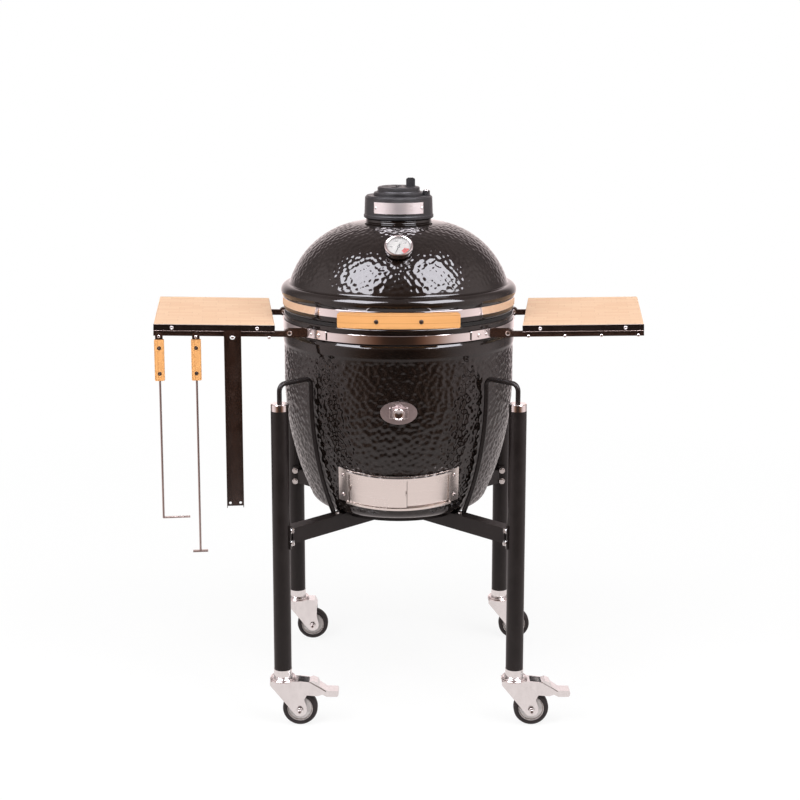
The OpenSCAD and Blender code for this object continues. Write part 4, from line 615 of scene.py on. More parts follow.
# foot, bead arc, dome arc and neck as one outer profile and the dome's inner arc, both turned
# round z; the dome's arc starts where it cuts the bead's, and pits sink the dome
def buildLid():
    s = lidShape
    ray = np.array([s["beadReach"] - s["domeCentreR"], s["beadZ"] - s["domeZ"]])
    far = np.hypot(*ray)
    meet = math.acos((far ** 2 + s["domeR"] ** 2 - s["beadR"] ** 2) / (2 * far * s["domeR"]))
    domeStart = math.degrees(math.atan2(ray[1], ray[0]) + meet)
    dome = (s["domeCentreR"], s["domeZ"], s["domeR"])
    crease = arcLine(*dome, domeStart, domeStart, 1)[0]
    beadTop = math.degrees(math.atan2(crease[1] - s["beadZ"], crease[0] - s["beadReach"]))
    beadFoot = -math.degrees(math.acos((s["rimR"] - s["beadReach"]) / s["beadR"]))
    neckTurn = math.degrees(math.acos((s["neckR"] - s["domeCentreR"]) / s["domeR"]))
    inR = s["domeR"] - s["wall"]
    inFoot = math.degrees(math.asin((s["footZ"] - s["domeZ"]) / inR))
    inTop = math.degrees(math.acos((s["flueR"] - s["domeCentreR"]) / inR))
    rimR, bevel, footZ = s["rimR"], s["rimBevel"], s["footZ"]
    outer = evenLine(np.concatenate([
        [[rimR - 2 * bevel, footZ], [rimR - bevel, footZ], [rimR, footZ + bevel]],
        arcLine(s["beadReach"], s["beadZ"], s["beadR"], beadFoot, beadTop, s["beadSteps"]),
        arcLine(*dome, domeStart, neckTurn, s["domeSteps"])[1:],
        [[s["neckR"], s["neckZ"]], [s["flueR"], s["neckZ"]]]]), s["step"], s["soften"])
    inner = arcLine(*dome[:2], inR, inTop, inFoot, s["innerSteps"])
    rows, cols = len(outer) + len(inner), s["cols"]
    verts = np.concatenate([revolve(outer, cols, pitInset(outer, s)), revolve(inner, cols)])
    slots = np.repeat(np.arange(rows) >= len(outer), cols)  # the inner wall and the foot's seam
    lid = makePiece("lidShell", verts, [tyreQuads(rows, cols)], "lid", "black_glaze",
                    ["blackGlaze", "sootedLining"], slots)
    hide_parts("lid_dome")
    print("lid shell:", len(lid.data.polygons), "faces")


baseShape = {
    "cols": 480, "step": 3.5 * mm, "wall": 26 * mm, "floorZ": 465.1 * mm, "topZ": 922.9 * mm,
    "bowlR": 272 * mm, "lip": 1 * mm, "rim": (269 * mm, 248 * mm), "poleR": 4 * mm, "floorRings": 8,
    "curveZ": 770 * mm, "curveR": 690 * mm, "curveSteps": 200, "cornerR": 38 * mm,
    "cornerSteps": 40, "innerEvery": 6, "innerEnd": 3,
    "collarFrom": 853 * mm, "collarMid": 872 * mm, "collarTop": 889.5 * mm, "collarOut": 2.4 * mm,
    "collarDrop": (1.2 * mm, 7.6 * mm), "collarFade": (2 * mm, 4 * mm),
    "pitsFrom": (478 * mm, 12 * mm), "pitsTo": (850 * mm, 10 * mm), "pitDepth": 2.7 * mm,
    "seed": 23,
    # openings behind the draft frame and the chip port: half width in degrees, lowest and highest
    "openings": [(28.5, 508 * mm, 580 * mm), (4.5, 722.5 * mm, 748.5 * mm)],
}


# the collar under the band: two parabolas that fall away from its middle, faded in and out
def collarSwell(z):
    s = baseShape
    low, mid, top = s["collarFrom"], s["collarMid"], s["collarTop"]
    fadeIn, fadeOut = s["collarFade"]
    belt = smoothStep(z, low - fadeIn, low + fadeIn) * (1 - smoothStep(z, top, top + fadeOut))
    below, above = s["collarDrop"]
    share = np.clip((z - mid) / np.where(z > mid, top - mid, mid - low), -1, 1)
    return belt * (s["collarOut"] - np.where(z > mid, above, below) * share ** 2)


# quads between matching points of two lines
def bridgeQuads(a, b):
    return np.stack([a[:-1], a[1:], b[1:], b[:-1]], 1)


# floor, corner arc and wall arc as one outer profile, and the inner wall set in by the wall's
# thickness; the openings leave quads out and join both walls by reveals
def buildBase():
    s = baseShape
    cols, pole = s["cols"], s["floorRings"]
    slide = s["curveR"] - s["cornerR"]
    turn = math.degrees(math.asin((s["curveZ"] - s["floorZ"] - s["cornerR"]) / slide))
    floorR = s["bowlR"] - s["curveR"] + slide * math.cos(math.radians(turn))
    wallLine = evenLine(np.concatenate([
        arcLine(floorR, s["floorZ"] + s["cornerR"], s["cornerR"], -90, -turn, s["cornerSteps"]),
        arcLine(s["bowlR"] - s["curveR"], s["curveZ"], s["curveR"], -turn, 0, s["curveSteps"])[1:],
        [[s["bowlR"], s["topZ"] - s["lip"]]]]), s["step"])
    floorLine = np.stack([np.linspace(s["poleR"], floorR, pole + 1)[:-1],
                          np.full(pole, s["floorZ"])], 1)
    outer = np.concatenate([floorLine, wallLine])
    thick = outer - s["wall"] * profileNormals(outer)
    thick[:pole] = outer[:pole] + [0, s["wall"]]
    outer[:, 0] += collarSwell(outer[:, 1])
    spans = []
    for half, low, high in s["openings"]:
        edges = [int(np.abs(outer[:, 1] - z).argmin()) for z in (low, high)]
        spans.append((int(round(half / 360 * cols)), *edges))
    keep = set(range(0, len(outer) - s["innerEvery"], s["innerEvery"]))
    keep.add(len(outer) - s["innerEnd"])
    for wide, low, high in spans:
        keep |= set(range(low, high + 1))
    innerRows = np.array(sorted(keep))[::-1]  # the inner wall runs downwards, with fewer rings
    rim = np.array([[r, s["topZ"]] for r in s["rim"]])
    verts = np.concatenate([revolve(outer, cols, pitInset(outer, s)), revolve(rim, cols),
                            revolve(thick[innerRows], cols)])
    start = len(outer) + len(rim)
    rows = start + len(innerRows)
    ringOf = {int(row): start + i for i, row in enumerate(innerRows)}
    quads = latticeQuads(rows, cols)
    ring, column = np.divmod(np.arange(len(quads)), cols)
    front = int(round(0.75 * cols))  # the column at -Y
    cut = np.zeros(len(quads), bool)
    reveals = []
    for wide, low, high in spans:
        inside = ((column - front + wide) % cols) < 2 * wide
        cut |= inside & (ring >= low) & (ring < high)
        cut |= inside & (ring >= ringOf[high]) & (ring < ringOf[low])
        across = (front + np.arange(-wide, wide + 1)) % cols
        up = np.arange(low, high + 1)
        upIn = np.array([ringOf[int(row)] for row in up])
        reveals += [bridgeQuads(row * cols + across, ringOf[row] * cols + across)
                    for row in (low, high)]
        reveals += [bridgeQuads(up * cols + col, upIn * cols + col)
                    for col in (across[0], across[-1])]
    reveals = np.concatenate(reveals)
    poles = np.array([[0, 0, s["floorZ"]], [0, 0, s["floorZ"] + s["wall"]]])
    fans = [np.stack([np.roll(edge, -1), edge, np.full(cols, len(verts) + i)], 1)
            for i, edge in enumerate((np.arange(cols), (rows - 1) * cols + np.arange(cols)))]
    slots = np.concatenate([(ring[~cut] >= start - 1).astype(int), np.ones(len(reveals), int),
                            np.zeros(cols, int), np.ones(cols, int)])
    base = makePiece("baseShell", np.concatenate([verts, poles]), [quads[~cut], reveals, *fans],
                     "base", "black_glaze", ["blackGlaze", "sootedLining"], slots)
    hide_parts("base_bowl")
    print("base shell:", len(base.data.polygons), "faces")


buildLid()
buildBase()


shelf = {
    "pivot": (247.4 * mm, -185.1 * mm, 901.5 * mm), "splay": 6.6, "rise": 1.8,
    "board": ((33 * mm, 304 * mm), (-4 * mm, 395 * mm), (4.35 * mm, 17.35 * mm)),
    "bevel": 2.2 * mm, "bevelSteps": 4, "topSteps": 40, "rows": 60,
    "topFaces": 1.0 * mm, "topPoints": 0.9 * mm,  # depth below the top that takes its finish
}
sides = {"left": -1, "right": 1}


# from a shelf's own frame (x outwards, y along the pivots, z up) to the room; side -1 mirrors it
def shelfToRoom(points, side):
    x, y, z = splitPoints(points)
    x, z = turnPair(x, z, shelf["rise"])
    x, y = turnPair(x, y, -shelf["splay"])
    px, py, pz = shelf["pivot"]
    return np.stack([(x + px) * side, y + py, z + pz], -1)


# the reverse of shelfToRoom: points of the room in a shelf's own frame
def roomToShelf(points, side):
    x, y, z = splitPoints(np.asarray(points, float) * [side, 1, 1] - shelf["pivot"])
    x, y = turnPair(x, y, shelf["splay"])
    x, z = turnPair(x, z, -shelf["rise"])
    return np.stack([x, y, z], -1)


# a slab: its long section, a rectangle with round corners, is carried along y and drawn in at
# both ends
def buildBoard(sideName, side):
    (x0, x1), (y0, y1), (z0, z1) = shelf["board"]
    b, rows, steps = shelf["bevel"], shelf["rows"], shelf["topSteps"]
    a = np.radians(np.linspace(0, 90, shelf["bevelSteps"]))
    sin, cos = b * np.sin(a), b * np.cos(a)
    top = np.linspace(x1 - b, x0 + b, steps)[1:-1]
    loop = np.concatenate([
        np.stack([x1 - b + sin, z0 + b - cos], 1), np.stack([x1 - b + cos, z1 - b + sin], 1),
        np.stack([top, np.full(steps - 2, z1)], 1),
        np.stack([x0 + b - sin, z1 - b + cos], 1), np.stack([x0 + b - cos, z0 + b - sin], 1)])
    along = np.concatenate([y0 + b - cos, np.linspace(y0 + b * 2, y1 - b * 2, rows),
                            (y1 - b + cos)[::-1]])
    tuck = np.concatenate([b - sin, np.zeros(rows), (b - sin)[::-1]])
    middle = np.array([(x0 + x1) / 2, (z0 + z1) / 2])
    half = np.array([(x1 - x0) / 2, (z1 - z0) / 2])
    xs, zs = splitPoints(middle + (loop - middle)[None] * (1 - tuck[:, None, None] / half))
    local = toPoints(xs, along[:, None], zs)
    faces = barFaces(len(along), len(loop))
    onTop = local[faces[0]].mean(1)[:, 2] > z1 - shelf["topFaces"]
    uv = np.where((local[:, 2] > z1 - shelf["topPoints"])[:, None], local[:, :2], local[:, [1, 2]])
    board = makePiece(sideName + "Board", shelfToRoom(local, side), faces, sideName + "_shelf",
                      "bamboo", ["boardBamboo", "boardEdge"],
                      np.concatenate([np.where(onTop, 0, 1), [1, 1]]), smooth=False, uv=uv)
    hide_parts(sideName + "_shelf_board")


for sideName, side in sides.items():
    buildBoard(sideName, side)


# a rectangle with round corners as a closed loop, w along the first axis
def roundLoop(w, h, r, steps=6):
    corners = [(w / 2 - r, h / 2 - r, 0), (-w / 2 + r, h / 2 - r, 90),
               (-w / 2 + r, -h / 2 + r, 180), (w / 2 - r, -h / 2 + r, 270)]
    return np.concatenate([arcLine(cx, cy, r, a, a + 90, steps) for cx, cy, a in corners])


# a bar: the loop is carried along 0 to length and drawn in at both ends to round them; gives
# along, across, up
def barGrid(loop, length, endR, rows, endSteps=7):
    a = np.radians(np.linspace(0, 90, endSteps))
    end, draw = endR * (1 - np.cos(a)), endR * (1 - np.sin(a))
    along = np.concatenate([end, np.linspace(endR, length - endR, rows)[1:-1],
                            length - end[::-1]])
    tuck = np.concatenate([draw, np.zeros(rows - 2), draw[::-1]])
    grid = loop[None] * (1 - tuck[:, None, None] / np.abs(loop).max(0))
    return np.repeat(along[:, None], len(loop), 1), grid[..., 0], grid[..., 1]


# a bar with a round section: a square loop whose corners take up nearly all of it
def roundBar(r, length, endShare, rows, cornerShare=0.98, cornerSteps=5):
    loop = roundLoop(2 * r, 2 * r, cornerShare * r, cornerSteps)
    return barGrid(loop, length, endShare * r, rows)


# a lathe form round the y axis, from (radius, depth) pairs, with closed ends
def latheAlongY(form, cols, centre):
    turn = ringAngles(cols)
    r, depth = splitPoints(form)[..., None]
    verts = toPoints(r * np.cos(turn), depth, r * np.sin(turn))
    return verts + np.asarray(centre), barFaces(len(form), cols)


trim = {
    "face": -7.1 * mm, "screwAt": (73 * mm, 263 * mm), "screwZ": 9.8 * mm, "headR": 4.2 * mm,
    "ringR": 1.3 * mm, "ringSunk": 0.3 * mm, "headFoot": 0.6 * mm, "headHole": 0.2 * mm,
    "ringSteps": 11, "headCols": 32,
    "hemR": 0.7 * mm, "hemZ": 3.0 * mm, "hemRows": 12, "hemEnd": 0.5,
    "pegAt": (46.5 * mm, 128 * mm, 209.5 * mm, 291 * mm), "pegZ": -6.5 * mm, "pegR": 3.5 * mm,
    "pegDome": 1.7 * mm, "pegFoot": 0.5 * mm, "pegTurn": 87, "pegSteps": 9, "pegCols": 24,
    "pegEnd": {"left": -29 * mm, "right": -12 * mm},
}


# two ring heads on a trim's face: a lathe form round y, half a circle out to the crown and back
# into a sunk middle painted dark as its shade
def buildTrimScrews(sideName, side):
    t = trim
    crown = arcLine(t["headR"] - t["ringR"], -t["ringSunk"], t["ringR"], 0, -180, t["ringSteps"])
    form = np.concatenate([[[t["headR"], t["headFoot"]]], crown,
                           [[t["headHole"], -t["ringSunk"]]]])
    verts, faces = joinParts([latheAlongY(form, t["headCols"], (x, t["face"], t["screwZ"]))
                              for x in t["screwAt"]])
    # the sunk middle takes the dark finish: painted shade
    slots = [0] * (len(crown) * t["headCols"]) + [1] * t["headCols"] + [0, 1]
    makePiece(sideName + "TrimScrews", shelfToRoom(verts, side), faces, sideName + "_shelf",
              "stainless", ["satinSteel", "darkScrew"], slots * len(t["screwAt"]))


# the trim's folded lower edge: a round bar along x on its face, in light bare metal that paints the
# highlight along that edge
def buildTrimHighlightHem(sideName, side):
    x0, x1 = shelf["board"][0]
    along, out, up = roundBar(trim["hemR"], x1 - x0, trim["hemEnd"], trim["hemRows"])
    verts = toPoints(x0 + along, trim["face"] + out, trim["hemZ"] + up)
    makePiece(sideName + "TrimHighlightHem", shelfToRoom(verts, side), barFaces(*along.shape),
              sideName + "_shelf", "stainless", ["toolRod"])


# a domed cap on each peg's end: a quarter of an ellipse turned round y, short of its pole
def buildPegCaps(sideName, side):
    t = trim
    a = np.radians(np.linspace(0, t["pegTurn"], t["pegSteps"]))
    dome = np.stack([t["pegR"] * np.cos(a), -t["pegDome"] * np.sin(a)], 1)
    form = np.concatenate([[[t["pegR"], t["pegFoot"]]], dome])
    verts, faces = joinParts([latheAlongY(form, t["pegCols"], (x, t["pegEnd"][sideName], t["pegZ"]))
                              for x in t["pegAt"]])
    makePiece(sideName + "PegCaps", shelfToRoom(verts, side), faces, sideName + "_shelf",
              "stainless", ["brightSteel"])


handle = {"bowR": 600 * mm, "bowY": 288.9 * mm, "z": 952 * mm, "length": 264 * mm,
          "deep": 24 * mm, "high": 33 * mm, "edgeR": 4.5 * mm, "endR": 2.5 * mm, "rows": 60,
          "grainTilt": 0.3}


# a bar with round corners bent to the bow's radius: the angle is the length run over that radius
def buildHandle():
    h = handle
    midR = h["bowR"] + h["deep"] / 2
    half = math.asin(h["length"] / 2 / midR)
    along, out, up = barGrid(roundLoop(h["deep"], h["high"], h["edgeR"]), 2 * half * midR,
                             h["endR"], h["rows"])
    turn, r = along / midR - half, midR + out
    verts = toPoints(r * np.sin(turn), h["bowY"] - r * np.cos(turn), h["z"] + up)
    uv = np.stack([along, up + h["grainTilt"] * out], -1).reshape(-1, 2)
    bar = makePiece("handleBar", verts, barFaces(*along.shape), "lid", "bamboo", ["gripBamboo"],
                    uv=uv)
    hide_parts("handle_bar")


grip = {
    "wide": 22 * mm, "thick": 15 * mm, "length": 93.5 * mm, "top": -7.6 * mm, "edgeR": 4 * mm,
    "endR": 2 * mm, "rows": 30, "grainTilt": 0.4,
    "tools": {"poker": (291 * mm, -22.5 * mm), "pusher": (209.5 * mm, -15.5 * mm)},
    "rivetR": 4.4 * mm, "rivetAt": (0.2, 0.82), "rivetCols": 32, "rivetRing": 4,
    # radius as a share of the rivet's, depth from the wood's face
    "rivetForm": ((1, 1.5 * mm), (1, -0.3 * mm), (0.84, -0.9 * mm), (0.62, -0.7 * mm),
                  (0.5, -0.2 * mm), (0.34, -0.15 * mm), (0.1, -0.15 * mm)),
}


# from a hanging tool's frame at its peg (plumb) to the room
def pegToRoom(points, pegX):
    x, y, z = splitPoints(points)
    x, y = turnPair(x, y, -shelf["splay"])
    return np.stack([-x, y, z], -1) + shelfToRoom([pegX, 0, trim["pegZ"]], -1)


# a plumb bar with round corners under the peg, and two rivets: lathe rings on its front face
def buildGrip(tool, pegX, midY):
    g = grip
    along, across, deep = barGrid(roundLoop(g["wide"], g["thick"], g["edgeR"]), g["length"],
                                  g["endR"], g["rows"])
    local = toPoints(across, midY + deep, g["top"] - along)
    uv = np.stack([along, across + g["grainTilt"] * deep], -1).reshape(-1, 2)
    body = makePiece(tool + "Grip", pegToRoom(local, pegX), barFaces(*along.shape), tool, "bamboo",
                     ["gripBamboo"], uv=uv)
    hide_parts(tool + "_grip")
    form, cols, ring = np.array(g["rivetForm"]) * [g["rivetR"], 1], g["rivetCols"], g["rivetRing"]
    face = midY - g["thick"] / 2
    verts, faces = joinParts([latheAlongY(form, cols, (0, face, g["top"] - share * g["length"]))
                              for share in g["rivetAt"]])
    slots = [0] * (ring * cols) + [1] * ((len(form) - 1 - ring) * cols) + [0, 1]
    makePiece(tool + "Rivets", pegToRoom(verts, pegX), faces, tool, "stainless",
              ["blackPowderCoat", "toolRod"], slots * len(g["rivetAt"]))


for sideName, side in sides.items():
    buildTrimScrews(sideName, side)
    buildTrimHighlightHem(sideName, side)
    buildPegCaps(sideName, side)
buildHandle()
for tool, place in grip["tools"].items():
    buildGrip(tool, *place)
print("bamboo: boards, handle and grips")


spring = {"coilR": 8.5 * mm, "wireR": 2.0 * mm, "turns": 8, "start": 6 * mm, "y": 315.1 * mm,
          "z": 930.5 * mm, "perTurn": 36, "sides": 12, "tails": (2 * mm, 4 * mm)}


# a round wire: a circle carried along the coil, square to it
def buildSprings():
    s = spring
    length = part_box("hinge_springs")[1].x - s["start"] - s["wireR"]
    t = np.linspace(0, 1, s["turns"] * s["perTurn"] + 1)
    a = 2 * math.pi * s["turns"] * t
    coil = np.stack([length * t, s["coilR"] * np.sin(a), s["coilR"] * np.cos(a)], 1)
    line = np.concatenate([[[0, -tail, s["coilR"]] for tail in s["tails"][::-1]], coil,
                           [[length, tail, s["coilR"]] for tail in s["tails"]]])
    tangent = np.gradient(line, axis=0)
    tangent /= np.linalg.norm(tangent, axis=1)[:, None]
    u = np.cross(tangent, [1, 0, 0.001])  # close to the coil's axis, and never along the wire
    u /= np.linalg.norm(u, axis=1)[:, None]
    v = np.cross(tangent, u)
    ring = ringAngles(s["sides"])[:, None]
    tube = line[:, None] + s["wireR"] * (u[:, None] * np.cos(ring) + v[:, None] * np.sin(ring))
    tube += [s["start"], s["y"], s["z"]]
    parts = [((tube * [side, 1, 1]).reshape(-1, 3), barFaces(*tube.shape[:2])) for side in (1, -1)]
    coils = makePiece("liftSprings", *joinParts(parts), "base", "stainless", ["brightSteel"])
    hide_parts("hinge_springs")


buildSprings()
print("lift springs")


plug = {
    "z": 735.5 * mm, "flange": (41.8 * mm, 24.8 * mm), "flangeR": 1.6 * mm, "flangeT": 2.5 * mm,
    "lip": 0.9 * mm, "body": (36.4 * mm, 19.4 * mm), "bodyR": 2.0 * mm, "bodyIn": 1 * mm,
    "rows": 4, "cols": 64, "knobR": 13.6 * mm, "knobOut": 14.5 * mm, "rimR": 1.5 * mm,
    # the knob's neck and shoulder: radius as a share of the knob's, depth
    "neck": ((0.5, 1 * mm), (0.46, -2 * mm), (0.44, -5 * mm), (0.6, -7 * mm)),
    "shoulder": (1 * mm, 8.5 * mm), "rimTurn": -140, "rimSteps": 14,
    "dish": (0.80, 0.04), "dishIn": 2.0 * mm, "dishDeep": 2.4 * mm, "dishSteps": 10,
}


# the chip port's plug: a flange with round edges and a body behind it, both bars along y, and a
# turned knob whose front is a dish inside a round rim
def buildPlug():
    p = plug
    lo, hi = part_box("port_plug")
    face, back, r = lo.y + p["knobOut"], lo.y + p["knobOut"] + p["bodyIn"], p["knobR"]
    parts = []
    for size, corner, start, length in ((p["flange"], p["flangeR"], face, p["flangeT"]),
                                        (p["body"], p["bodyR"], back, hi.y - back)):
        along, across, up = barGrid(roundLoop(*size, corner), length, p["lip"], p["rows"])
        verts = toPoints(across, start + along, p["z"] + up)
        parts.append((verts, barFaces(*along.shape)))
    rim = arcLine(r - p["rimR"], p["rimR"] - p["knobOut"], p["rimR"], 0, p["rimTurn"],
                  p["rimSteps"])
    sink = p["dishIn"] + p["dishDeep"] * np.linspace(0, 1, p["dishSteps"]) ** 0.5
    dish = np.stack([np.linspace(*p["dish"], p["dishSteps"]) * r, sink - p["knobOut"]], 1)
    inset, drop = p["shoulder"]
    form = np.concatenate([np.array(p["neck"]) * [r, 1], [[r - inset, -drop]], rim, dish])
    knob = latheAlongY(form, p["cols"], (0, face, p["z"]))
    slots = [slot for part in parts for slot in [1] * len(part[1][0]) + [0, 0]]
    slots += [1] * (len(knob[1][0]) + 2)
    piece = makePiece("portPlug", *joinParts([*parts, knob]), "plug", "stainless",
                      ["portSteel", "brightSteel"], slots)
    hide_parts("port_plug")


panelHem = {"r": 0.6 * mm, "faceR": 253.25 * mm, "high": 75 * mm, "at": (-26.2, 4.3), "rows": 8,
            "end": 0.4, "lean": 19.471, "axisZ": 622.217 * mm}


# the outer draft panel's hemmed ends: round bars up its face at two angles, turned to the wall's
# lean, dark to paint the shadow line at the panel's seam
def buildPanelHems():
    h = panelHem
    along, across, out = roundBar(h["r"], h["high"], h["end"], h["rows"])
    parts = []
    for angle in h["at"]:
        x, y = turnPair(across, -h["faceR"] - out, angle)
        y, z = turnPair(y, along - h["high"] / 2, h["lean"])
        parts.append((toPoints(x, y, z + h["axisZ"]), barFaces(*along.shape)))
    makePiece("draftPanelSeamShadeHems", *joinParts(parts), "draft_left", "stainless", ["darkScrew"])


caster = {
    "postR": 20.7 * mm, "foot": 106.6 * mm, "cols": 72,
    "tubes": ((28.0 * mm, 109.2 * mm, 2.4 * mm), (26.6 * mm, 113.2 * mm, 1.9 * mm)),
    "lowArc": (-80, 78, 12), "highArc": (-60, 90, 10), "lowIn": 4 * mm, "highIn": 5 * mm,
    "lid": 0.2 * mm, "hubRingR": 27.4 * mm, "hubRingT": 0.9 * mm, "hubDeep": 8.3 * mm,
    "hubSteps": 12, "hubCols": 48, "axleR": 4.4 * mm, "axleOut": 3.0 * mm, "axleIn": 1 * mm,
    "axleEdge": 0.8 * mm, "axleDish": 1.2 * mm, "axleHole": 0.3 * mm, "axleCols": 24,
    "axleLip": (0.62, 0.5),
}
corners = {"front_left": ("frontLeft", -1, -1), "front_right": ("frontRight", 1, -1),
           "rear_left": ("rearLeft", -1, 1), "rear_right": ("rearRight", 1, 1)}


# a caster's swivel as two rolled rings with a groove between them painted dark as shade: the outer
# halves of two circles, one over the other, turned round the post's axis
def buildRaceway(corner, label, sideX, sideY):
    w = caster
    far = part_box("caster_sockets")[1]
    axis = [(far.x - w["postR"]) * sideX, (far.y - w["postR"]) * sideY, 0]
    low, high = w["tubes"]
    inR = high[0] - w["highIn"]
    line = np.concatenate([[[low[0] - w["lowIn"], w["foot"]]], arcLine(*low, *w["lowArc"]),
                           arcLine(*high, *w["highArc"]),
                           [[inR, high[1] + high[2] - w["lid"]], [inR, w["foot"]]]])
    grooveShade = np.repeat(np.arange(len(line)) == w["lowArc"][2], w["cols"])
    makePiece(label + "Raceway", revolve(line, w["cols"]) + axis,
              [tyreQuads(len(line), w["cols"])], corner + "_caster", "zinc",
              ["polishedBand", "darkScrew"], grooveShade)


# the middle of a caster's wheel
def wheelMiddle(corner):
    lo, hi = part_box(corner + "_wheel")
    return np.array((lo + hi) / 2)


# a thin ring on both sides of a wheel's hub, a circle turned round the axle, and a dished bolt
# end on each of the axle's nuts, whose side and dish are painted dark as shade
def buildHub(corner, label):
    w = caster
    middle = wheelMiddle(corner)
    loop = arcLine(w["hubRingR"], 0, w["hubRingT"], 0, 360, w["hubSteps"] + 1)[:-1]
    rings = [(latheAlongY(loop, w["hubCols"], middle + [0, side * w["hubDeep"], 0])[0],
              [tyreQuads(len(loop), w["hubCols"])]) for side in (-1, 1)]
    makePiece(label + "HubRing", *joinParts(rings), corner + "_roller", "caster_rubber",
              ["hubRing"])
    r, out, edge, cols = w["axleR"], w["axleOut"], w["axleEdge"], w["axleCols"]
    dish = w["axleDish"] - out
    lipOut, lipIn = w["axleLip"]
    form = np.array([(r, w["axleIn"]), (r, edge - out), (r - edge, -out), (r * lipOut, -out),
                     (r * lipIn, dish), (w["axleHole"], dish)])
    ends = [latheAlongY(form * [1, -side], cols, (middle[0], bound.y, middle[2]))
            for side, bound in zip((-1, 1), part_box(corner + "_fork"))]
    # the bolt end's side and dish take the dark finish: painted shade
    slots = [1] * cols + [0] * (2 * cols) + [1] * (2 * cols) + [0, 1]
    makePiece(label + "AxleEnds", *joinParts(ends), corner + "_caster", "zinc",
              ["brightSteel", "darkScrew"], slots * 2)


buildPlug()
buildPanelHems()
for corner, (label, sideX, sideY) in corners.items():
    buildRaceway(corner, label, sideX, sideY)
    buildHub(corner, label)
print("port plug and caster rings")


dial = {
    "lift": 50.0, "ringR": 67 * mm, "ringZ": 937 * mm, "domeR": 199 * mm, "faceZ": 13.0 * mm,
    "print": 0.06 * mm, "faceR": 29 * mm, "from": 250.0, "sweep": 280.0, "arcSteps": 80,
    # radii as shares of the face's, angles in degrees
    "arc": (0.885, 0.90), "marks": 29, "longEvery": 7, "longMark": (0.74, 0.9),
    "shortMark": (0.81, 0.45), "hot": (-30, 16), "hotR": (0.44, 0.84), "hotSteps": 24,
    "numbers": ("0", "100", "200", "300", "400"), "numberR": 0.60, "numberSize": 4.6 * mm,
    "numberPrint": 0.09 * mm,
}


# from the dial's own frame (z out of its face) to the room: a turn about x, then out along the
# dome's radius
def dialToRoom(points):
    lift = math.radians(dial["lift"])
    x, y, z = splitPoints(points)
    y, z = turnPair(y, z, 90 - dial["lift"])
    return np.stack([x, y - dial["ringR"] - dial["domeR"] * math.cos(lift),
                     z + dial["ringZ"] + dial["domeR"] * math.sin(lift)], -1)


# a printed bar or arc: a lattice over angle and radius, laid just above the dial
def arcPatch(a0, a1, low, high, steps):
    a = np.radians(np.linspace(a0, a1, steps))
    r = np.array([low, high])[:, None] * dial["faceR"]
    verts = toPoints(r * np.cos(a), r * np.sin(a), dial["faceZ"] + dial["print"])
    return verts, [latticeQuads(2, steps, False)]


# the points and faces of a number drawn flat in the middle of the dial
def drawNumber(words):
    curve = bpy.data.curves.new("dialNumber", "FONT")
    curve.body = words
    curve.align_x = curve.align_y = "CENTER"
    curve.size = dial["numberSize"]
    text = addObject("dialNumberText", curve)
    bpy.context.view_layer.update()
    shown = text.evaluated_get(bpy.context.evaluated_depsgraph_get())
    drawn = bpy.data.meshes.new_from_object(shown)
    bpy.data.objects.remove(text)
    points = np.zeros(len(drawn.vertices) * 3)
    drawn.vertices.foreach_get("co", points)
    faces = [[list(face.vertices)] for face in drawn.polygons]
    bpy.data.meshes.remove(drawn)
    return points.reshape(-1, 3), faces


# a thin arc with a mark at each even step of the sweep, a red sector past its end, and plain
# numbers
def buildDialPrint():
    d = dial
    end = d["from"] - d["sweep"]
    patches = [arcPatch(end, d["from"], *d["arc"], d["arcSteps"])]
    for i, a in enumerate(np.linspace(d["from"], end, d["marks"])):
        inner, half = d["shortMark"] if i % d["longEvery"] else d["longMark"]
        patches.append(arcPatch(a - half, a + half, inner, d["arc"][0], 2))
    sector = arcPatch(end + d["hot"][0], end + d["hot"][1], *d["hotR"], d["hotSteps"])
    for name, parts, slotName, ink in (("dialMarks", patches, "needle_black", "dialInk"),
                                       ("dialHotZone", [sector], "dial_white", "dialRed")):
        verts, faces = joinParts(parts)
        makePiece(name, dialToRoom(verts), faces, "lid", slotName, [ink], smooth=False,
                  closed=False)
    height = d["faceZ"] + d["numberPrint"]
    for words, a in zip(d["numbers"], np.linspace(d["from"], end, len(d["numbers"]))):
        verts, faces = drawNumber(words)
        place = arcLine(0, 0, d["numberR"] * d["faceR"], a, a, 1)[0]
        makePiece("dialNumber" + words, dialToRoom(verts + [*place, height]), faces, "lid",
                  "needle_black", ["dialInk"], smooth=False, closed=False)


buildDialPrint()
print("thermometer face")


solidFinish = {
    "polishedBand": ["base_band", "lid_band"],
    "pressedFelt": ["base_gasket", "lid_gasket"],
    "fireClay": ["firebox", "fire_ring"],
    "castBlackIron": ["charcoal_grate", "vent_collar", "vent_cap", "vent_wheel"],
    "blackPowderCoat": ["cross_frame", "cart_posts", "cradle_rods"],
    "brownPowderCoat": ["shelf_brackets", "left_shelf_frame", "right_shelf_frame", "chip_trough"],
    "brightSteel": ["cooking_grid", "post_caps", "shell_screws", "pivot_bolts", "hinge_base",
                    "hinge_lid", "hinge_pin", "handle_brackets", "vent_pivot_screw", "thermo_case"],
    "brushedSheet": ["draft_frame", "draft_panel_left", "draft_panel_right"],
    "satinSteel": ["vent_plate"],
    "portSteel": ["port_plate"],
    "zincPlate": ["caster_sockets", "frame_bolts", "front_left_pedal", "front_right_pedal",
                  *(corner + "_fork" for corner in corners)],
    "toolRod": ["poker", "pusher"],
    "casterRubber": [corner + "_wheel" for corner in corners],
    "darkScrew": ["handle_screws"],
    "dialEnamel": ["thermo_dial"],
    "dialInk": ["thermo_needle"],
    "dialGlass": ["thermo_lens"],
}
for label, names in solidFinish.items():
    for name in names:
        nodes[name].data.materials.clear()
        nodes[name].data.materials.append(finish[label])


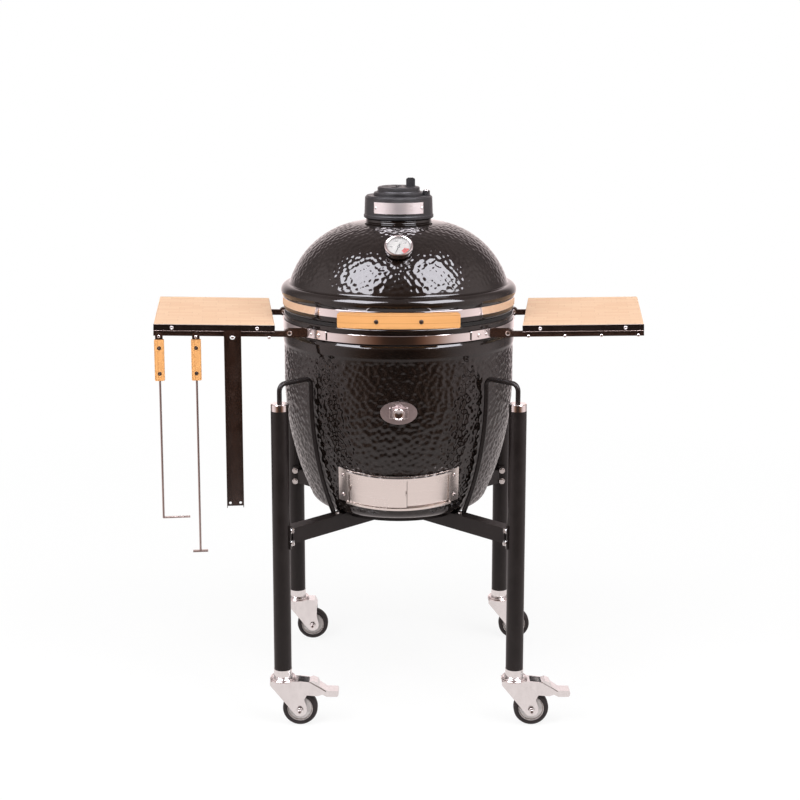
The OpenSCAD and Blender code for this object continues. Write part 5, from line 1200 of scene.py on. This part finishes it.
# a second finish on the faces of a solid whose middle and normal pass a test
def secondFinish(name, label, test):
    mesh = nodes[name].data
    mesh.materials.append(finish[label])
    count = len(mesh.polygons)
    centre, normal = np.zeros(count * 3), np.zeros(count * 3)
    mesh.polygons.foreach_get("center", centre)
    mesh.polygons.foreach_get("normal", normal)
    slots = np.zeros(count, np.int32)
    mesh.polygons.foreach_get("material_index", slots)
    slots[test(centre.reshape(-1, 3), normal.reshape(-1, 3))] = len(mesh.materials) - 1
    mesh.polygons.foreach_set("material_index", slots)


# where second finishes start: bracket feet on the band, trims with their top edge painted light as
# a highlight, pegs in the shelf's frame, the tools' tangs, the draft panel's upright edges painted
# dark as shade, hubs, and nut sides painted dark as shade round the wheels' axes
accent = {"bandR": 275.1 * mm, "footT": 3.4 * mm, "trimBack": -3.5 * mm, "trimFrom": 2.2 * mm,
          "trimTop": 17.1 * mm, "pegEnds": {"left": -24 * mm, "right": -8.5 * mm},
          "tangH": 20 * mm, "edgeTurn": 0.8, "hubR": 29.5 * mm, "nutR": 7.6 * mm, "nutTurn": 0.5}


# three tests on a shelf frame's points in its own frame: the trim, its top edge painted light as a
# highlight, the peg ends
def dressShelfFrame(sideName, side):
    tests = {
        "trimPowderCoat": lambda y, z: (y < accent["trimBack"]) & (z > accent["trimFrom"]),
        # the trim's top edge in light steel: a painted highlight
        "satinSteel": lambda y, z: (y < accent["trimBack"]) & (z > accent["trimTop"]),
        "brightSteel": lambda y, z: (y < accent["pegEnds"][sideName]) & (z < 0),
    }
    for label, test in tests.items():
        secondFinish(sideName + "_shelf_frame", label,
                     lambda c, n: test(*roomToShelf(c, side).T[1:]))


# a wheel's hub by its distance from the axle, and its fork's nuts, whose faces turned across the
# axle are painted dark as shade
def dressCaster(corner):
    x, z = wheelMiddle(corner)[::2]
    secondFinish(corner + "_wheel", "hubGrey", lambda c, n: (
        np.hypot(c[:, 0] - x, c[:, 2] - z) < accent["hubR"]))
    # nut faces turned across the axle, painted dark as shade
    secondFinish(corner + "_fork", "darkScrew", lambda c, n: (
        (np.hypot(c[:, 0] - x, c[:, 2] - z) < accent["nutR"])
        & (np.abs(n[:, 1]) < accent["nutTurn"])))


# a tool's tang, from its top down
def dressTool(tool):
    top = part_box(tool)[1].z
    secondFinish(tool, "brownPowderCoat", lambda c, n: c[:, 2] > top - accent["tangH"])


secondFinish("shelf_brackets", "brightSteel", lambda c, n: (
    np.hypot(c[:, 0], c[:, 1]) < accent["bandR"] + accent["footT"]))
for sideName, side in sides.items():
    dressShelfFrame(sideName, side)
for tool in grip["tools"]:
    dressTool(tool)
# the panel's upright edge faces painted dark as the shade of its seam
secondFinish("draft_panel_left", "darkScrew", lambda c, n: (
    np.abs(n[:, 0] * c[:, 1] - n[:, 1] * c[:, 0])
    > accent["edgeTurn"] * np.hypot(c[:, 0], c[:, 1])))
for corner in corners:
    dressCaster(corner)
print("solid parts dressed")
